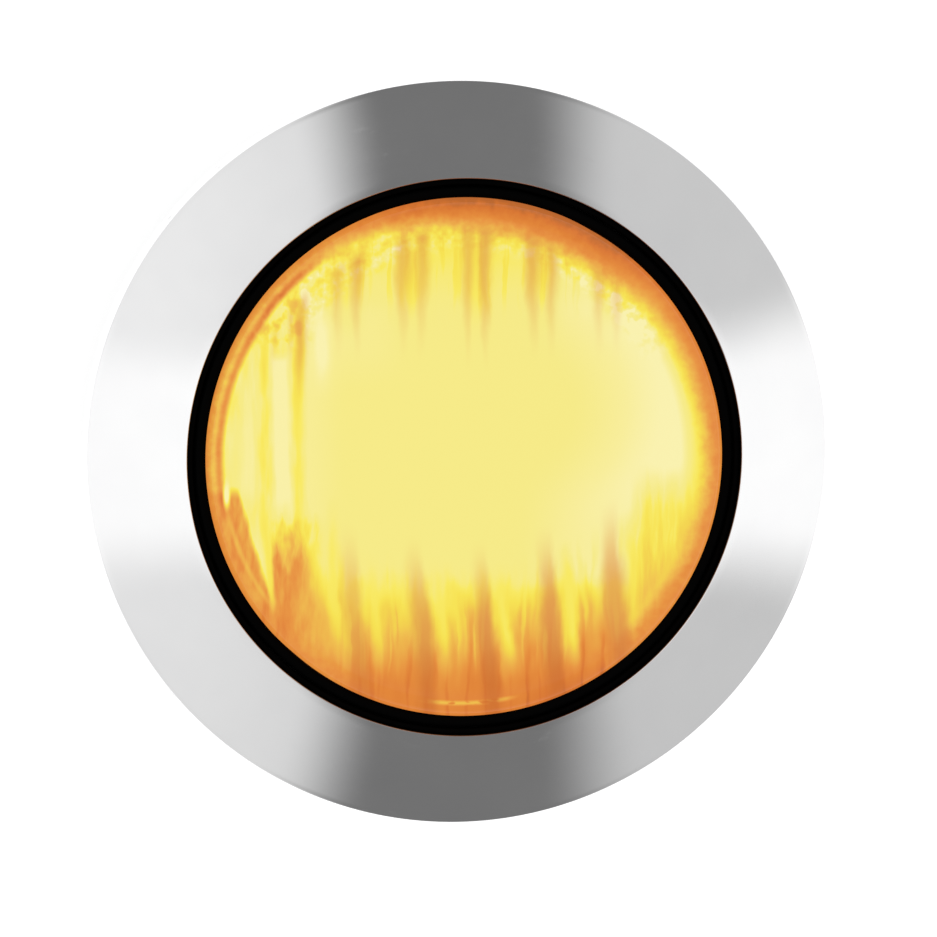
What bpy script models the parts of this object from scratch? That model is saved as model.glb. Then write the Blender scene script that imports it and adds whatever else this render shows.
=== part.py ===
"""A 2-inch round amber marker light in a rubber grommet with a polished trim ring.

The lens faces +Z and the lamp stands on the end of its rear socket. The origin is the middle of
that end. Sizes are in metres.
"""

import math

import bmesh
import bpy
from mathutils import Matrix, Vector

# Driving dimensions
PANEL_Z = 0.028  # front face of the panel that the grommet's flange seats on
FIT_GAP = 0.0003  # gap between pieces that touch

RING_RADIUS = 0.035
RING_HOLE_RADIUS = 0.02615
RING_DOME_RADIUS = 0.060
RING_CREST_HEIGHT = 0.009  # above the panel
RING_SHEET = 0.0008
RING_EDGE_ROLL = 0.0004
RING_RETURN_DEPTH = 0.0018
RING_GRIP_COUNT = 4
RING_GRIP_REACH = 0.0004
RING_GRIP_WIDTH = 0.006
RING_GRIP_LOW = 0.0008  # above the panel
RING_GRIP_HIGH = 0.002

FLANGE_RADIUS = 0.0335
FLANGE_THICKNESS = 0.0031
FLANGE_CHAMFER = 0.0006
FLANGE_COLLAR_RADIUS = 0.0276
FLANGE_SLOPE_RADIUS = 0.0300
FLANGE_SLOPE_HEIGHT = 0.0057
PANEL_HOLE_RADIUS = 0.0286
PANEL_THICKNESS = 0.003
GROOVE_SQUEEZE = 0.0002
BEAD_RADIUS = 0.0305
BEAD_CHAMFER = 0.0005
BEAD_LENGTH = 0.0015
GROMMET_DEPTH = 0.013  # behind the panel
GROMMET_TAIL_RADIUS = 0.0262
GROMMET_TAIL_CHAMFER = 0.001
LIP_RADIUS = 0.0256
LIP_THICKNESS = 0.00035
LIP_HEIGHT = 0.0084

LAMP_RADIUS = 0.0254
BODY_RADIUS = 0.0225
HOUSING_WALL = 0.0015
HOUSING_RIM_WALL = 0.0009
HOUSING_RIM_HEIGHT = 0.0084
FLANGE_SEAT_HEIGHT = 0.0024
FLANGE_PLATE = 0.0012
HOUSING_REAR_Z = 0.012
HOUSING_FLOOR_Z = 0.0135
HOUSING_FLOOR_FILLET = 0.001
HOUSING_REAR_CHAMFER = 0.0015
RIB_THICKNESS = 0.0016
RIB_DROP = 0.0025  # below the rear wall
RIB_INSET = 0.003  # from the side of the cup

SOCKET_WIDTH = 0.030
SOCKET_DEPTH = 0.0095
SOCKET_WALL = 0.003
SOCKET_HALF_SPAN = 0.0065  # from the middle to the centre of each round end
KEYWAY_WIDTH = 0.002
KEYWAY_DEPTH = 0.0015
OVERLAP = 0.001  # how far a cutter or an added block runs past the face that it meets
PIN_SPACING = 0.015
PIN_RADIUS = 0.002
PIN_TIP_Z = 0.002
PIN_TENON_RADIUS = 0.001
PIN_HEAD_RADIUS = 0.0016
PIN_HEAD_HEIGHT = 0.0007
PIN_SHOULDER_GAP = 0.0001
SEAL_WALL = 0.0008
SEAL_DEPTH = 0.0018
SEAL_BULGE = 0.0002

LENS_RADIUS = 0.0243
LENS_WALL = 0.0018
LENS_EDGE_Z = 0.0370  # where the upright side turns into the shoulder
LENS_SHOULDER_RADIUS = 0.0222
LENS_SHOULDER_Z = 0.0389
LENS_TOP_Z = 0.0416
LENS_FOOT_Z = 0.033
FLUTE_COUNT = 9
FLUTE_PITCH = 0.00614
FLUTE_OFFSET = 0.0015
FLUTE_DEPTH = 0.0005
LENS_SEAL_INNER_RADIUS = 0.0229

REFLECTOR_WALL = 0.001
REFLECTOR_NECK_RADIUS = 0.0066
REFLECTOR_NECK_Z = 0.0185
REFLECTOR_RIM_RADIUS = 0.0198
REFLECTOR_FLANGE_RADIUS = 0.0224
REFLECTOR_FLANGE_PLATE = 0.0008
REFLECTOR_BOWL_Z = 0.0208
REFLECTOR_BACK_OFFSET = 0.0004

BULB_GLOBE_RADIUS = 0.0056
BULB_GLOBE_Z = 0.0326
BULB_GLASS_WALL = 0.0006
BULB_NECK_RADIUS = 0.0037
BULB_NECK_Z = 0.0253
CAP_RADIUS = 0.0046
CAP_WALL = 0.0005
CAP_TOP_Z = 0.025
CAP_FOOT_Z = 0.0163
CAP_MOUTH_RADIUS = 0.0032
CAP_CURL = 0.0005
BAYONET_RADIUS = 0.0007
BAYONET_LENGTH = 0.0011
BAYONET_Z = 0.0178
INSULATOR_RADIUS = 0.0029
INSULATOR_HOLE_RADIUS = 0.001
INSULATOR_DROP = 0.0008  # below the foot of the cap
INSULATOR_RISE = 0.0006
INSULATOR_CHAMFER = 0.0005
CONTACT_STEM_RADIUS = 0.0007
CONTACT_RADIUS = 0.0016
CONTACT_HEIGHT = 0.0005
STRAP_THICKNESS = 0.0005
STRAP_WIDTH = 0.0034
STRAP_END = 0.0022  # past the middle of the pin
HOT_STRAP_START = 0.0018  # past the axis
GROUND_STRAP_TOP_Z = 0.0182
POST_SPACING = 0.002
POST_RADIUS = 0.00025
POST_FOOT_Z = 0.0182
POST_BEND_Z = 0.0292
POST_REACH = 0.0019
FILAMENT_TURNS = 6
FILAMENT_LENGTH = 0.0026
FILAMENT_COIL_RADIUS = 0.00045
FILAMENT_WIRE_RADIUS = 0.00012

# Small turned shapes, as (radius, height)
SHOCK_MOUNT_OUTLINE = [
    (CAP_RADIUS + FIT_GAP, 0.0236),
    (0.0070, 0.0236),
    (0.0076, 0.0233),
    (0.0076, 0.0229),
    (0.0063, 0.0225),
    (0.0063, 0.0190),
    (CAP_RADIUS + FIT_GAP, 0.0190),
]
STEM_OUTLINE = [
    (0.0, 0.0285),
    (0.0014, 0.0284),
    (0.0018, 0.0280),
    (0.0018, 0.0269),
    (0.0014, 0.0265),
    (0.0, 0.0264),
]
STEM_HOLE_CLEARANCE = 0.0002
STEM_HOLE_TOP_Z = 0.030
STEM_HOLE_FOOT_Z = 0.025

RING_STEPS = 64
INNER_STEPS = 28
SMALL_STEPS = 16
WIRE_HOLE_STEPS = 12
COIL_STEPS = 8


def surface(name, colour, roughness, metallic=0.0, transmission=0.0):
    material = bpy.data.materials.new(name)
    material.use_nodes = True
    shader = material.node_tree.nodes["Principled BSDF"]
    shader.inputs["Base Color"].default_value = (*colour, 1.0)
    shader.inputs["Roughness"].default_value = roughness
    shader.inputs["Metallic"].default_value = metallic
    shader.inputs["Transmission Weight"].default_value = transmission
    return material


def add_object(name, mesh, material):
    """Turns a bmesh into an object with smooth round faces and sharp corners."""
    bmesh.ops.remove_doubles(mesh, verts=mesh.verts[:], dist=1e-7)
    bmesh.ops.recalc_face_normals(mesh, faces=mesh.faces[:])
    data = bpy.data.meshes.new(name)
    mesh.to_mesh(data)
    mesh.free()
    data.shade_smooth()
    data.set_sharp_from_angle(angle=math.radians(35))
    obj = bpy.data.objects.new(name, data)
    obj.data.materials.append(material)
    bpy.context.scene.collection.objects.link(obj)
    return obj


def add_cutter(name, mesh):
    cutter = add_object(name, mesh, bpy.data.materials["cutter"])
    cutter.hide_render = True
    cutter.display_type = "WIRE"
    return cutter


def apply_boolean(obj, other, operation):
    modifier = obj.modifiers.new(f"{operation.lower()}_{other.name}", "BOOLEAN")
    modifier.object = other
    modifier.operation = operation


def arc(centre, radius, start_degrees, end_degrees, count):
    """Points (r, z) on an arc, with angles measured from the outward direction towards +Z."""
    points = []
    for index in range(count):
        turn = math.radians(start_degrees + (end_degrees - start_degrees) * index / (count - 1))
        points.append((centre[0] + radius * math.cos(turn), centre[1] + radius * math.sin(turn)))
    return points


def turned_mesh(outline, steps, centre=(0.0, 0.0)):
    """An (r, z) outline turned about Z. An outline with both ends on the axis stays open there."""
    mesh = bmesh.new()
    verts = [mesh.verts.new((radius, 0.0, height)) for radius, height in outline]
    pairs = list(zip(verts, verts[1:]))
    if outline[0][0] > 0.0 or outline[-1][0] > 0.0:
        pairs.append((verts[-1], verts[0]))
    edges = [mesh.edges.new(pair) for pair in pairs]
    bmesh.ops.spin(
        mesh, geom=verts + edges, axis=(0, 0, 1), cent=(0, 0, 0), angle=math.tau, steps=steps, use_merge=True
    )
    bmesh.ops.translate(mesh, verts=mesh.verts[:], vec=(*centre, 0.0))
    return mesh


def turned(name, outline, steps, material, centre=(0.0, 0.0)):
    return add_object(name, turned_mesh(outline, steps, centre), material)


def box_mesh(low, high):
    mesh = bmesh.new()
    middle = (Vector(low) + Vector(high)) / 2
    size = Vector(high) - Vector(low)
    bmesh.ops.create_cube(mesh, size=1.0, matrix=Matrix.Translation(middle) @ Matrix.Diagonal((*size, 1.0)))
    return mesh


def stadium_mesh(half_span, radius, low_z, high_z, edge_steps=16):
    """An upright prism with two round ends, long in X."""
    mesh = bmesh.new()
    verts = []
    for side in (1, -1):
        for index in range(edge_steps + 1):
            turn = math.pi * (index / edge_steps - 0.5)
            x = side * (half_span + radius * math.cos(turn))
            verts.append(mesh.verts.new((x, side * radius * math.sin(turn), low_z)))
    foot = mesh.faces.new(verts)
    raised = bmesh.ops.extrude_face_region(mesh, geom=[foot])
    top = [item for item in raised["geom"] if isinstance(item, bmesh.types.BMVert)]
    bmesh.ops.translate(mesh, verts=top, vec=(0, 0, high_z - low_z))
    return mesh


def dome_height(radius, sphere_radius, anchor_radius, anchor_z):
    """Height of a sphere centred on the axis that passes through the anchor."""
    centre_z = anchor_z - math.sqrt(sphere_radius**2 - anchor_radius**2)
    return centre_z + math.sqrt(sphere_radius**2 - radius**2)


def ring_profile():
    """The pressed sheet: a return at the hole, a domed face and an upright skirt."""
    crest_z = PANEL_Z + RING_CREST_HEIGHT
    anchor = RING_HOLE_RADIUS + RING_EDGE_ROLL
    foot_z = PANEL_Z + FIT_GAP
    skirt_inner = RING_RADIUS - RING_SHEET
    inner_sphere = RING_DOME_RADIUS - RING_SHEET
    centre_z = crest_z - math.sqrt(RING_DOME_RADIUS**2 - anchor**2)

    def outer_z(radius):
        return centre_z + math.sqrt(RING_DOME_RADIUS**2 - radius**2)

    def under_z(radius):
        return centre_z + math.sqrt(inner_sphere**2 - radius**2)

    face_end = RING_RADIUS - RING_EDGE_ROLL
    face = [anchor + (face_end - anchor) * step / 5 for step in range(6)]
    outer_roll = arc((face_end, outer_z(face_end) - RING_EDGE_ROLL), RING_EDGE_ROLL, 50, 0, 3)
    return_outer = RING_HOLE_RADIUS + RING_SHEET
    under = [skirt_inner - (skirt_inner - return_outer) * step / 2 for step in range(3)]
    outline = [(RING_HOLE_RADIUS, crest_z - RING_RETURN_DEPTH)]
    outline += arc((anchor, crest_z - RING_EDGE_ROLL), RING_EDGE_ROLL, 180, 120, 3)
    outline += [(radius, outer_z(radius)) for radius in face]
    outline += outer_roll
    outline += [(RING_RADIUS, foot_z), (skirt_inner, foot_z)]
    outline += [(radius, under_z(radius)) for radius in under]
    outline += [(return_outer, crest_z - RING_RETURN_DEPTH)]
    return outline


def make_trim_ring(material):
    """The ring, with small pads inside its skirt that grip the grommet's flange."""
    ring = turned("trim_ring", ring_profile(), RING_STEPS, material)
    for index in range(RING_GRIP_COUNT):
        turn = math.tau * (index + 0.5) / RING_GRIP_COUNT
        inner = RING_RADIUS - RING_SHEET - RING_GRIP_REACH
        low = (inner, -RING_GRIP_WIDTH / 2, PANEL_Z + RING_GRIP_LOW)
        high = (RING_RADIUS - RING_SHEET / 2, RING_GRIP_WIDTH / 2, PANEL_Z + RING_GRIP_HIGH)
        mesh = box_mesh(low, high)
        bmesh.ops.rotate(mesh, verts=mesh.verts[:], cent=(0, 0, 0), matrix=Matrix.Rotation(turn, 3, "Z"))
        apply_boolean(ring, add_cutter(f"ring_grip_{index + 1}", mesh), "UNION")
    return ring


def make_grommet(material):
    """Rubber grommet: lip, domed flange, panel groove, snap bead and stepped bore."""
    bore = BODY_RADIUS + FIT_GAP
    seat_z = PANEL_Z + FLANGE_SEAT_HEIGHT - FIT_GAP
    rear_z = PANEL_Z - GROMMET_DEPTH
    groove = PANEL_HOLE_RADIUS - GROOVE_SQUEEZE
    groove_z = PANEL_Z - PANEL_THICKNESS
    lip_top = PANEL_Z + LIP_HEIGHT
    lip_outer = LIP_RADIUS + LIP_THICKNESS
    collar_z = PANEL_Z + RING_CREST_HEIGHT - RING_RETURN_DEPTH - FIT_GAP
    outline = [
        (LIP_RADIUS, lip_top),
        (lip_outer, lip_top),
        (lip_outer, collar_z),
        (FLANGE_COLLAR_RADIUS, collar_z),
        (FLANGE_SLOPE_RADIUS, PANEL_Z + FLANGE_SLOPE_HEIGHT),
        (FLANGE_RADIUS - FLANGE_CHAMFER, PANEL_Z + FLANGE_THICKNESS),
        (FLANGE_RADIUS, PANEL_Z + FLANGE_THICKNESS - FLANGE_CHAMFER),
        (FLANGE_RADIUS, PANEL_Z + BEAD_CHAMFER),
        (FLANGE_RADIUS - BEAD_CHAMFER, PANEL_Z),
        (groove, PANEL_Z),
        (groove, groove_z),
        (BEAD_RADIUS - BEAD_CHAMFER, groove_z),
        (BEAD_RADIUS, groove_z - BEAD_CHAMFER),
        (BEAD_RADIUS, groove_z - BEAD_LENGTH),
        (GROMMET_TAIL_RADIUS + GROMMET_TAIL_CHAMFER, rear_z + GROMMET_TAIL_CHAMFER),
        (GROMMET_TAIL_RADIUS, rear_z),
        (bore, rear_z),
        (bore, seat_z),
        (LIP_RADIUS, seat_z),
    ]
    return turned("grommet", outline, RING_STEPS, material)


def make_housing(material):
    """The black cup, with its rim round the lens, the rear socket, two ribs and the pin holes."""
    rim_inner = LAMP_RADIUS - HOUSING_RIM_WALL
    rim_top = PANEL_Z + HOUSING_RIM_HEIGHT
    flange_low = PANEL_Z + FLANGE_SEAT_HEIGHT
    flange_top = flange_low + FLANGE_PLATE
    cavity = BODY_RADIUS - HOUSING_WALL
    outline = [
        (0.0, HOUSING_FLOOR_Z),
        (cavity - HOUSING_FLOOR_FILLET, HOUSING_FLOOR_Z),
        (cavity, HOUSING_FLOOR_Z + HOUSING_FLOOR_FILLET),
        (cavity, flange_top),
        (rim_inner, flange_top),
        (rim_inner, rim_top),
        (LAMP_RADIUS, rim_top),
        (LAMP_RADIUS, flange_low),
        (BODY_RADIUS, flange_low),
        (BODY_RADIUS, HOUSING_REAR_Z + HOUSING_REAR_CHAMFER),
        (BODY_RADIUS - HOUSING_REAR_CHAMFER, HOUSING_REAR_Z),
        (0.0, HOUSING_REAR_Z),
    ]
    housing = turned("lamp_housing", outline, RING_STEPS, material)
    join_z = (HOUSING_REAR_Z + HOUSING_FLOOR_Z) / 2
    boss_radius = SOCKET_WIDTH / 2 - SOCKET_HALF_SPAN
    boss = add_cutter("socket_boss", stadium_mesh(SOCKET_HALF_SPAN, boss_radius, 0.0, join_z))
    apply_boolean(housing, boss, "UNION")
    rib_side = RIB_THICKNESS / 2
    for name, side in (("rear_rib_upper", 1), ("rear_rib_lower", -1)):
        low_y, high_y = sorted((side * (boss_radius - OVERLAP), side * (BODY_RADIUS - RIB_INSET)))
        rib = box_mesh((-rib_side, low_y, HOUSING_REAR_Z - RIB_DROP), (rib_side, high_y, join_z))
        apply_boolean(housing, add_cutter(name, rib), "UNION")
    recess_radius = boss_radius - SOCKET_WALL
    recess = stadium_mesh(SOCKET_HALF_SPAN, recess_radius, -OVERLAP, SOCKET_DEPTH)
    apply_boolean(housing, add_cutter("socket_recess", recess), "DIFFERENCE")
    key_low = (-KEYWAY_WIDTH / 2, recess_radius - OVERLAP, -OVERLAP)
    key_high = (KEYWAY_WIDTH / 2, recess_radius + KEYWAY_DEPTH, SOCKET_DEPTH)
    key = box_mesh(key_low, key_high)
    apply_boolean(housing, add_cutter("socket_keyway", key), "DIFFERENCE")
    for name, side in (("hot", 1), ("ground", -1)):
        hole = [
            (0.0, HOUSING_FLOOR_Z + OVERLAP),
            (seal_radius() + FIT_GAP, HOUSING_FLOOR_Z + OVERLAP),
            (seal_radius() + FIT_GAP, seal_pocket_z()),
            (PIN_RADIUS + FIT_GAP, seal_pocket_z()),
            (PIN_RADIUS + FIT_GAP, SOCKET_DEPTH - OVERLAP),
            (0.0, SOCKET_DEPTH - OVERLAP),
        ]
        mesh = turned_mesh(hole, SMALL_STEPS, (side * PIN_SPACING / 2, 0.0))
        apply_boolean(housing, add_cutter(f"pin_hole_{name}", mesh), "DIFFERENCE")
    return housing


def seal_radius():
    return PIN_RADIUS + FIT_GAP + SEAL_WALL


def seal_pocket_z():
    return HOUSING_FLOOR_Z - SEAL_DEPTH


def lens_outer_profile():
    """From the top of the dome on the axis, over the rounded shoulder, to the foot."""
    sag = LENS_TOP_Z - LENS_SHOULDER_Z
    sphere = (LENS_SHOULDER_RADIUS**2 + sag**2) / (2 * sag)
    outline = []
    for step in range(5):
        radius = LENS_SHOULDER_RADIUS * step / 4
        outline.append((radius, dome_height(radius, sphere, LENS_SHOULDER_RADIUS, LENS_SHOULDER_Z)))
    roll_radius = LENS_RADIUS - LENS_SHOULDER_RADIUS
    roll_height = LENS_SHOULDER_Z - LENS_EDGE_Z
    for step in range(1, 5):
        turn = math.radians(90 - 22.5 * step)
        outline.append(
            (
                LENS_SHOULDER_RADIUS + roll_radius * math.cos(turn),
                LENS_EDGE_Z + roll_height * math.sin(turn),
            )
        )
    outline.append((LENS_RADIUS, LENS_FOOT_Z))
    return outline


def lens_inner_z(x, y):
    """The underside of the dome: it follows the dome and carries a row of flutes that run along Y."""
    radius = min(math.hypot(x, y), LENS_SHOULDER_RADIUS)
    sag = LENS_TOP_Z - LENS_SHOULDER_Z
    sphere = (LENS_SHOULDER_RADIUS**2 + sag**2) / (2 * sag)
    place = (x - FLUTE_OFFSET) / FLUTE_PITCH
    across = 2 * abs(place - math.floor(place) - 0.5)
    dome = dome_height(radius, sphere, LENS_SHOULDER_RADIUS, LENS_SHOULDER_Z)
    return dome - LENS_WALL + FLUTE_DEPTH * (across**2 - 0.5)


def make_lens(material):
    """The domed amber cap. Its hollow is a fluted block trimmed to a cylinder."""
    lens = turned("lens", lens_outer_profile() + [(0.0, LENS_FOOT_Z)], RING_STEPS, material)
    per_flute = 4
    columns = FLUTE_COUNT * per_flute
    rows = 12
    span = FLUTE_COUNT * FLUTE_PITCH
    mesh = bmesh.new()
    bmesh.ops.create_grid(mesh, x_segments=columns, y_segments=rows, size=0.5)
    for vert in mesh.verts:
        vert.co.x = FLUTE_OFFSET - FLUTE_PITCH / 2 + vert.co.x * span
        vert.co.y *= span
        vert.co.z = lens_inner_z(vert.co.x, vert.co.y)
    lowered = bmesh.ops.extrude_face_region(mesh, geom=mesh.faces[:])
    for item in lowered["geom"]:
        if isinstance(item, bmesh.types.BMVert):
            item.co.z = LENS_FOOT_Z - 2 * OVERLAP
    block = add_cutter("lens_flutes", mesh)
    inner = LENS_RADIUS - LENS_WALL
    keep_foot = LENS_FOOT_Z - OVERLAP
    keep = [(0.0, LENS_TOP_Z), (inner, LENS_TOP_Z), (inner, keep_foot), (0.0, keep_foot)]
    cylinder = add_cutter("lens_bore", turned_mesh(keep, RING_STEPS))
    apply_boolean(block, cylinder, "INTERSECT")
    apply_boolean(lens, block, "DIFFERENCE")
    return lens


def seal_outline(inner, outer, low, high):
    """A ring section whose sides bulge at mid height."""
    middle = (low + high) / 2
    return [
        (outer - SEAL_BULGE, high),
        (outer, middle),
        (outer - SEAL_BULGE, low),
        (inner + SEAL_BULGE, low),
        (inner, middle),
        (inner + SEAL_BULGE, high),
    ]


def make_lens_seal(material):
    low = PANEL_Z + FLANGE_SEAT_HEIGHT + FLANGE_PLATE + FIT_GAP
    high = LENS_FOOT_Z - FIT_GAP
    outer = LENS_RADIUS - PIN_SHOULDER_GAP
    outline = seal_outline(LENS_SEAL_INNER_RADIUS, outer, low, high)
    return turned("lens_seal", outline, INNER_STEPS, material)


def make_reflector(material):
    """A parabolic bowl on a short neck, held by its flange."""
    flange_low = PANEL_Z + FLANGE_SEAT_HEIGHT + FLANGE_PLATE + FIT_GAP
    flange_high = flange_low + REFLECTOR_FLANGE_PLATE
    neck = REFLECTOR_NECK_RADIUS
    neck_outer = neck + REFLECTOR_WALL
    back = REFLECTOR_BACK_OFFSET
    rise = (flange_high - REFLECTOR_BOWL_Z) / REFLECTOR_RIM_RADIUS**2
    radii = [neck + (REFLECTOR_RIM_RADIUS - neck) * step / 5 for step in range(6)]
    bowl = [(radius, REFLECTOR_BOWL_Z + rise * radius**2) for radius in radii]
    outline = [(REFLECTOR_FLANGE_RADIUS, flange_high), (REFLECTOR_FLANGE_RADIUS, flange_low)]
    outline += [(REFLECTOR_RIM_RADIUS + 1.5 * back, flange_low)]
    outline += [(radius + back, height - REFLECTOR_WALL) for radius, height in reversed(bowl[2:-1])]
    outline += [(neck_outer, REFLECTOR_BOWL_Z - 1.5 * back), (neck_outer, REFLECTOR_NECK_Z)]
    outline += [(neck, REFLECTOR_NECK_Z)] + bowl
    return turned("reflector", outline, INNER_STEPS, material)


def make_shock_mount(material):
    return turned("shock_mount", SHOCK_MOUNT_OUTLINE, INNER_STEPS, material)


def bulb_wall(radius, neck_radius):
    """One side of the glass, from the top on the axis to the foot of the neck."""
    meet = math.degrees(math.asin(neck_radius / radius)) - 90
    globe = arc((0.0, BULB_GLOBE_Z), radius, 90, meet, 8)
    globe[0] = (0.0, BULB_GLOBE_Z + radius)
    return globe + [(neck_radius, BULB_NECK_Z)]


def make_bulb_glass(material):
    """A blown globe on an open neck."""
    outer = bulb_wall(BULB_GLOBE_RADIUS, BULB_NECK_RADIUS)
    inner = bulb_wall(BULB_GLOBE_RADIUS - BULB_GLASS_WALL, BULB_NECK_RADIUS - BULB_GLASS_WALL)
    return turned("bulb_glass", outer + inner[::-1], INNER_STEPS, material)


def make_bulb_stem(material):
    """A glass bead with a hole for each wire."""
    stem = turned("bulb_stem", STEM_OUTLINE, SMALL_STEPS, material)
    radius = POST_RADIUS + STEM_HOLE_CLEARANCE
    hole = [
        (0.0, STEM_HOLE_TOP_Z),
        (radius, STEM_HOLE_TOP_Z),
        (radius, STEM_HOLE_FOOT_Z),
        (0.0, STEM_HOLE_FOOT_Z),
    ]
    for name, side in (("hot", 1), ("ground", -1)):
        mesh = turned_mesh(hole, WIRE_HOLE_STEPS, (side * POST_SPACING / 2, 0.0))
        apply_boolean(stem, add_cutter(f"stem_hole_{name}", mesh), "DIFFERENCE")
    return stem


def make_bulb_cap(material):
    """A brass shell, open at both ends, with its two bayonet pins."""
    outline = [
        (CAP_RADIUS, CAP_TOP_Z),
        (CAP_RADIUS, CAP_FOOT_Z + CAP_CURL),
        (CAP_RADIUS - 0.8 * CAP_CURL, CAP_FOOT_Z),
        (CAP_MOUTH_RADIUS, CAP_FOOT_Z),
        (CAP_MOUTH_RADIUS, CAP_FOOT_Z + CAP_CURL),
        (CAP_RADIUS - CAP_WALL, CAP_FOOT_Z + 1.8 * CAP_CURL),
        (CAP_RADIUS - CAP_WALL, CAP_TOP_Z),
    ]
    cap = turned("bulb_cap", outline, INNER_STEPS, material)
    for name, side in (("front", 1), ("back", -1)):
        pin = bmesh.new()
        middle_y = side * (CAP_RADIUS + BAYONET_LENGTH / 2 - CAP_WALL / 2)
        turn = Matrix.Rotation(math.radians(90), 4, "X")
        bmesh.ops.create_cone(
            pin,
            cap_ends=True,
            segments=WIRE_HOLE_STEPS,
            radius1=BAYONET_RADIUS,
            radius2=BAYONET_RADIUS,
            depth=BAYONET_LENGTH,
            matrix=Matrix.Translation((0, middle_y, BAYONET_Z)) @ turn,
        )
        apply_boolean(cap, add_cutter(f"bayonet_pin_{name}", pin), "UNION")
    return cap


def make_cap_insulator(material):
    top = CAP_FOOT_Z + INSULATOR_RISE
    foot = CAP_FOOT_Z - INSULATOR_DROP
    outline = [
        (INSULATOR_HOLE_RADIUS, top),
        (INSULATOR_RADIUS, top),
        (INSULATOR_RADIUS, foot + 0.8 * INSULATOR_CHAMFER),
        (INSULATOR_RADIUS - INSULATOR_CHAMFER, foot),
        (INSULATOR_HOLE_RADIUS, foot),
    ]
    return turned("cap_insulator", outline, SMALL_STEPS, material)


def make_cap_contact(material):
    """The solder button under the insulator, with its stem up through the hole."""
    stem_top = CAP_FOOT_Z + INSULATOR_HOLE_RADIUS
    top = CAP_FOOT_Z - INSULATOR_DROP - FIT_GAP
    outline = [
        (0.0, stem_top),
        (CONTACT_STEM_RADIUS, stem_top),
        (CONTACT_STEM_RADIUS, top),
        (CONTACT_RADIUS, top),
        (0.8 * CONTACT_RADIUS, top - 0.8 * CONTACT_HEIGHT),
        (0.0, top - CONTACT_HEIGHT),
    ]
    return turned("cap_contact", outline, SMALL_STEPS, material)


def wire(name, points, radius, sides, material):
    """A round wire with closed ends along a list of points."""
    data = bpy.data.curves.new(name, "CURVE")
    data.dimensions = "3D"
    data.bevel_depth = radius
    data.bevel_resolution = (sides - 4) // 2
    data.use_fill_caps = True
    spline = data.splines.new("POLY")
    spline.points.add(len(points) - 1)
    for target, point in zip(spline.points, points):
        target.co = (*point, 1.0)
    data.materials.append(material)
    obj = bpy.data.objects.new(name, data)
    bpy.context.scene.collection.objects.link(obj)
    return obj


def make_filament_post(name, side, material):
    """A straight wire that leans out at its top to meet the end of the coil."""
    near = side * POST_SPACING / 2
    far = side * POST_REACH
    rise = BULB_GLOBE_Z - FILAMENT_COIL_RADIUS / 2 - POST_BEND_Z
    points = [
        (near, 0.0, POST_FOOT_Z),
        (near, 0.0, POST_BEND_Z),
        (near + (far - near) * 0.25, 0.0, POST_BEND_Z + rise * 0.25),
        (near + (far - near) * 0.75, 0.0, POST_BEND_Z + rise * 0.75),
        (far, 0.0, POST_BEND_Z + rise),
        (far, 0.0, BULB_GLOBE_Z + FILAMENT_COIL_RADIUS),
    ]
    return wire(name, points, POST_RADIUS, 8, material)


def make_filament(material):
    steps = COIL_STEPS * FILAMENT_TURNS
    points = []
    for step in range(steps + 1):
        turn = math.tau * step / COIL_STEPS
        points.append(
            (
                FILAMENT_LENGTH * (step / steps - 0.5),
                FILAMENT_COIL_RADIUS * math.cos(turn),
                BULB_GLOBE_Z + FILAMENT_COIL_RADIUS * math.sin(turn),
            )
        )
    return wire("filament", points, FILAMENT_WIRE_RADIUS, 6, material)


def cut_tenon_hole(strap, name, x):
    """A hole through the strap for the pin's tenon."""
    radius = PIN_TENON_RADIUS + FIT_GAP
    low = HOUSING_FLOOR_Z - OVERLAP
    high = HOUSING_FLOOR_Z + 2 * OVERLAP
    hole = [(0.0, high), (radius, high), (radius, low), (0.0, low)]
    cutter = add_cutter(f"{name}_hole", turned_mesh(hole, SMALL_STEPS, (x, 0.0)))
    apply_boolean(strap, cutter, "DIFFERENCE")


def make_hot_strap(material):
    """A flat strap that runs under the cap's button to the hot pin."""
    low = HOUSING_FLOOR_Z + FIT_GAP
    end = PIN_SPACING / 2 + STRAP_END
    mesh = box_mesh((-HOT_STRAP_START, -STRAP_WIDTH / 2, low), (end, STRAP_WIDTH / 2, low + STRAP_THICKNESS))
    strap = add_object("hot_strap", mesh, material)
    cut_tenon_hole(strap, "hot_strap", PIN_SPACING / 2)
    return strap


def make_ground_strap(material):
    """An angled strap: flat on the ground pin, upright against the side of the cap."""
    low = HOUSING_FLOOR_Z + FIT_GAP
    leg_outer = -(CAP_RADIUS + FIT_GAP + STRAP_THICKNESS)
    foot_end = -(PIN_SPACING / 2 + STRAP_END)
    profile = [
        (foot_end, low),
        (leg_outer + STRAP_THICKNESS, low),
        (leg_outer + STRAP_THICKNESS, GROUND_STRAP_TOP_Z),
        (leg_outer, GROUND_STRAP_TOP_Z),
        (leg_outer, low + STRAP_THICKNESS),
        (foot_end, low + STRAP_THICKNESS),
    ]
    mesh = bmesh.new()
    side = mesh.faces.new([mesh.verts.new((x, -STRAP_WIDTH / 2, z)) for x, z in profile])
    pulled = bmesh.ops.extrude_face_region(mesh, geom=[side])
    far = [item for item in pulled["geom"] if isinstance(item, bmesh.types.BMVert)]
    bmesh.ops.translate(mesh, verts=far, vec=(0, STRAP_WIDTH, 0))
    strap = add_object("ground_strap", mesh, material)
    cut_tenon_hole(strap, "ground_strap", -PIN_SPACING / 2)
    return strap


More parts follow.
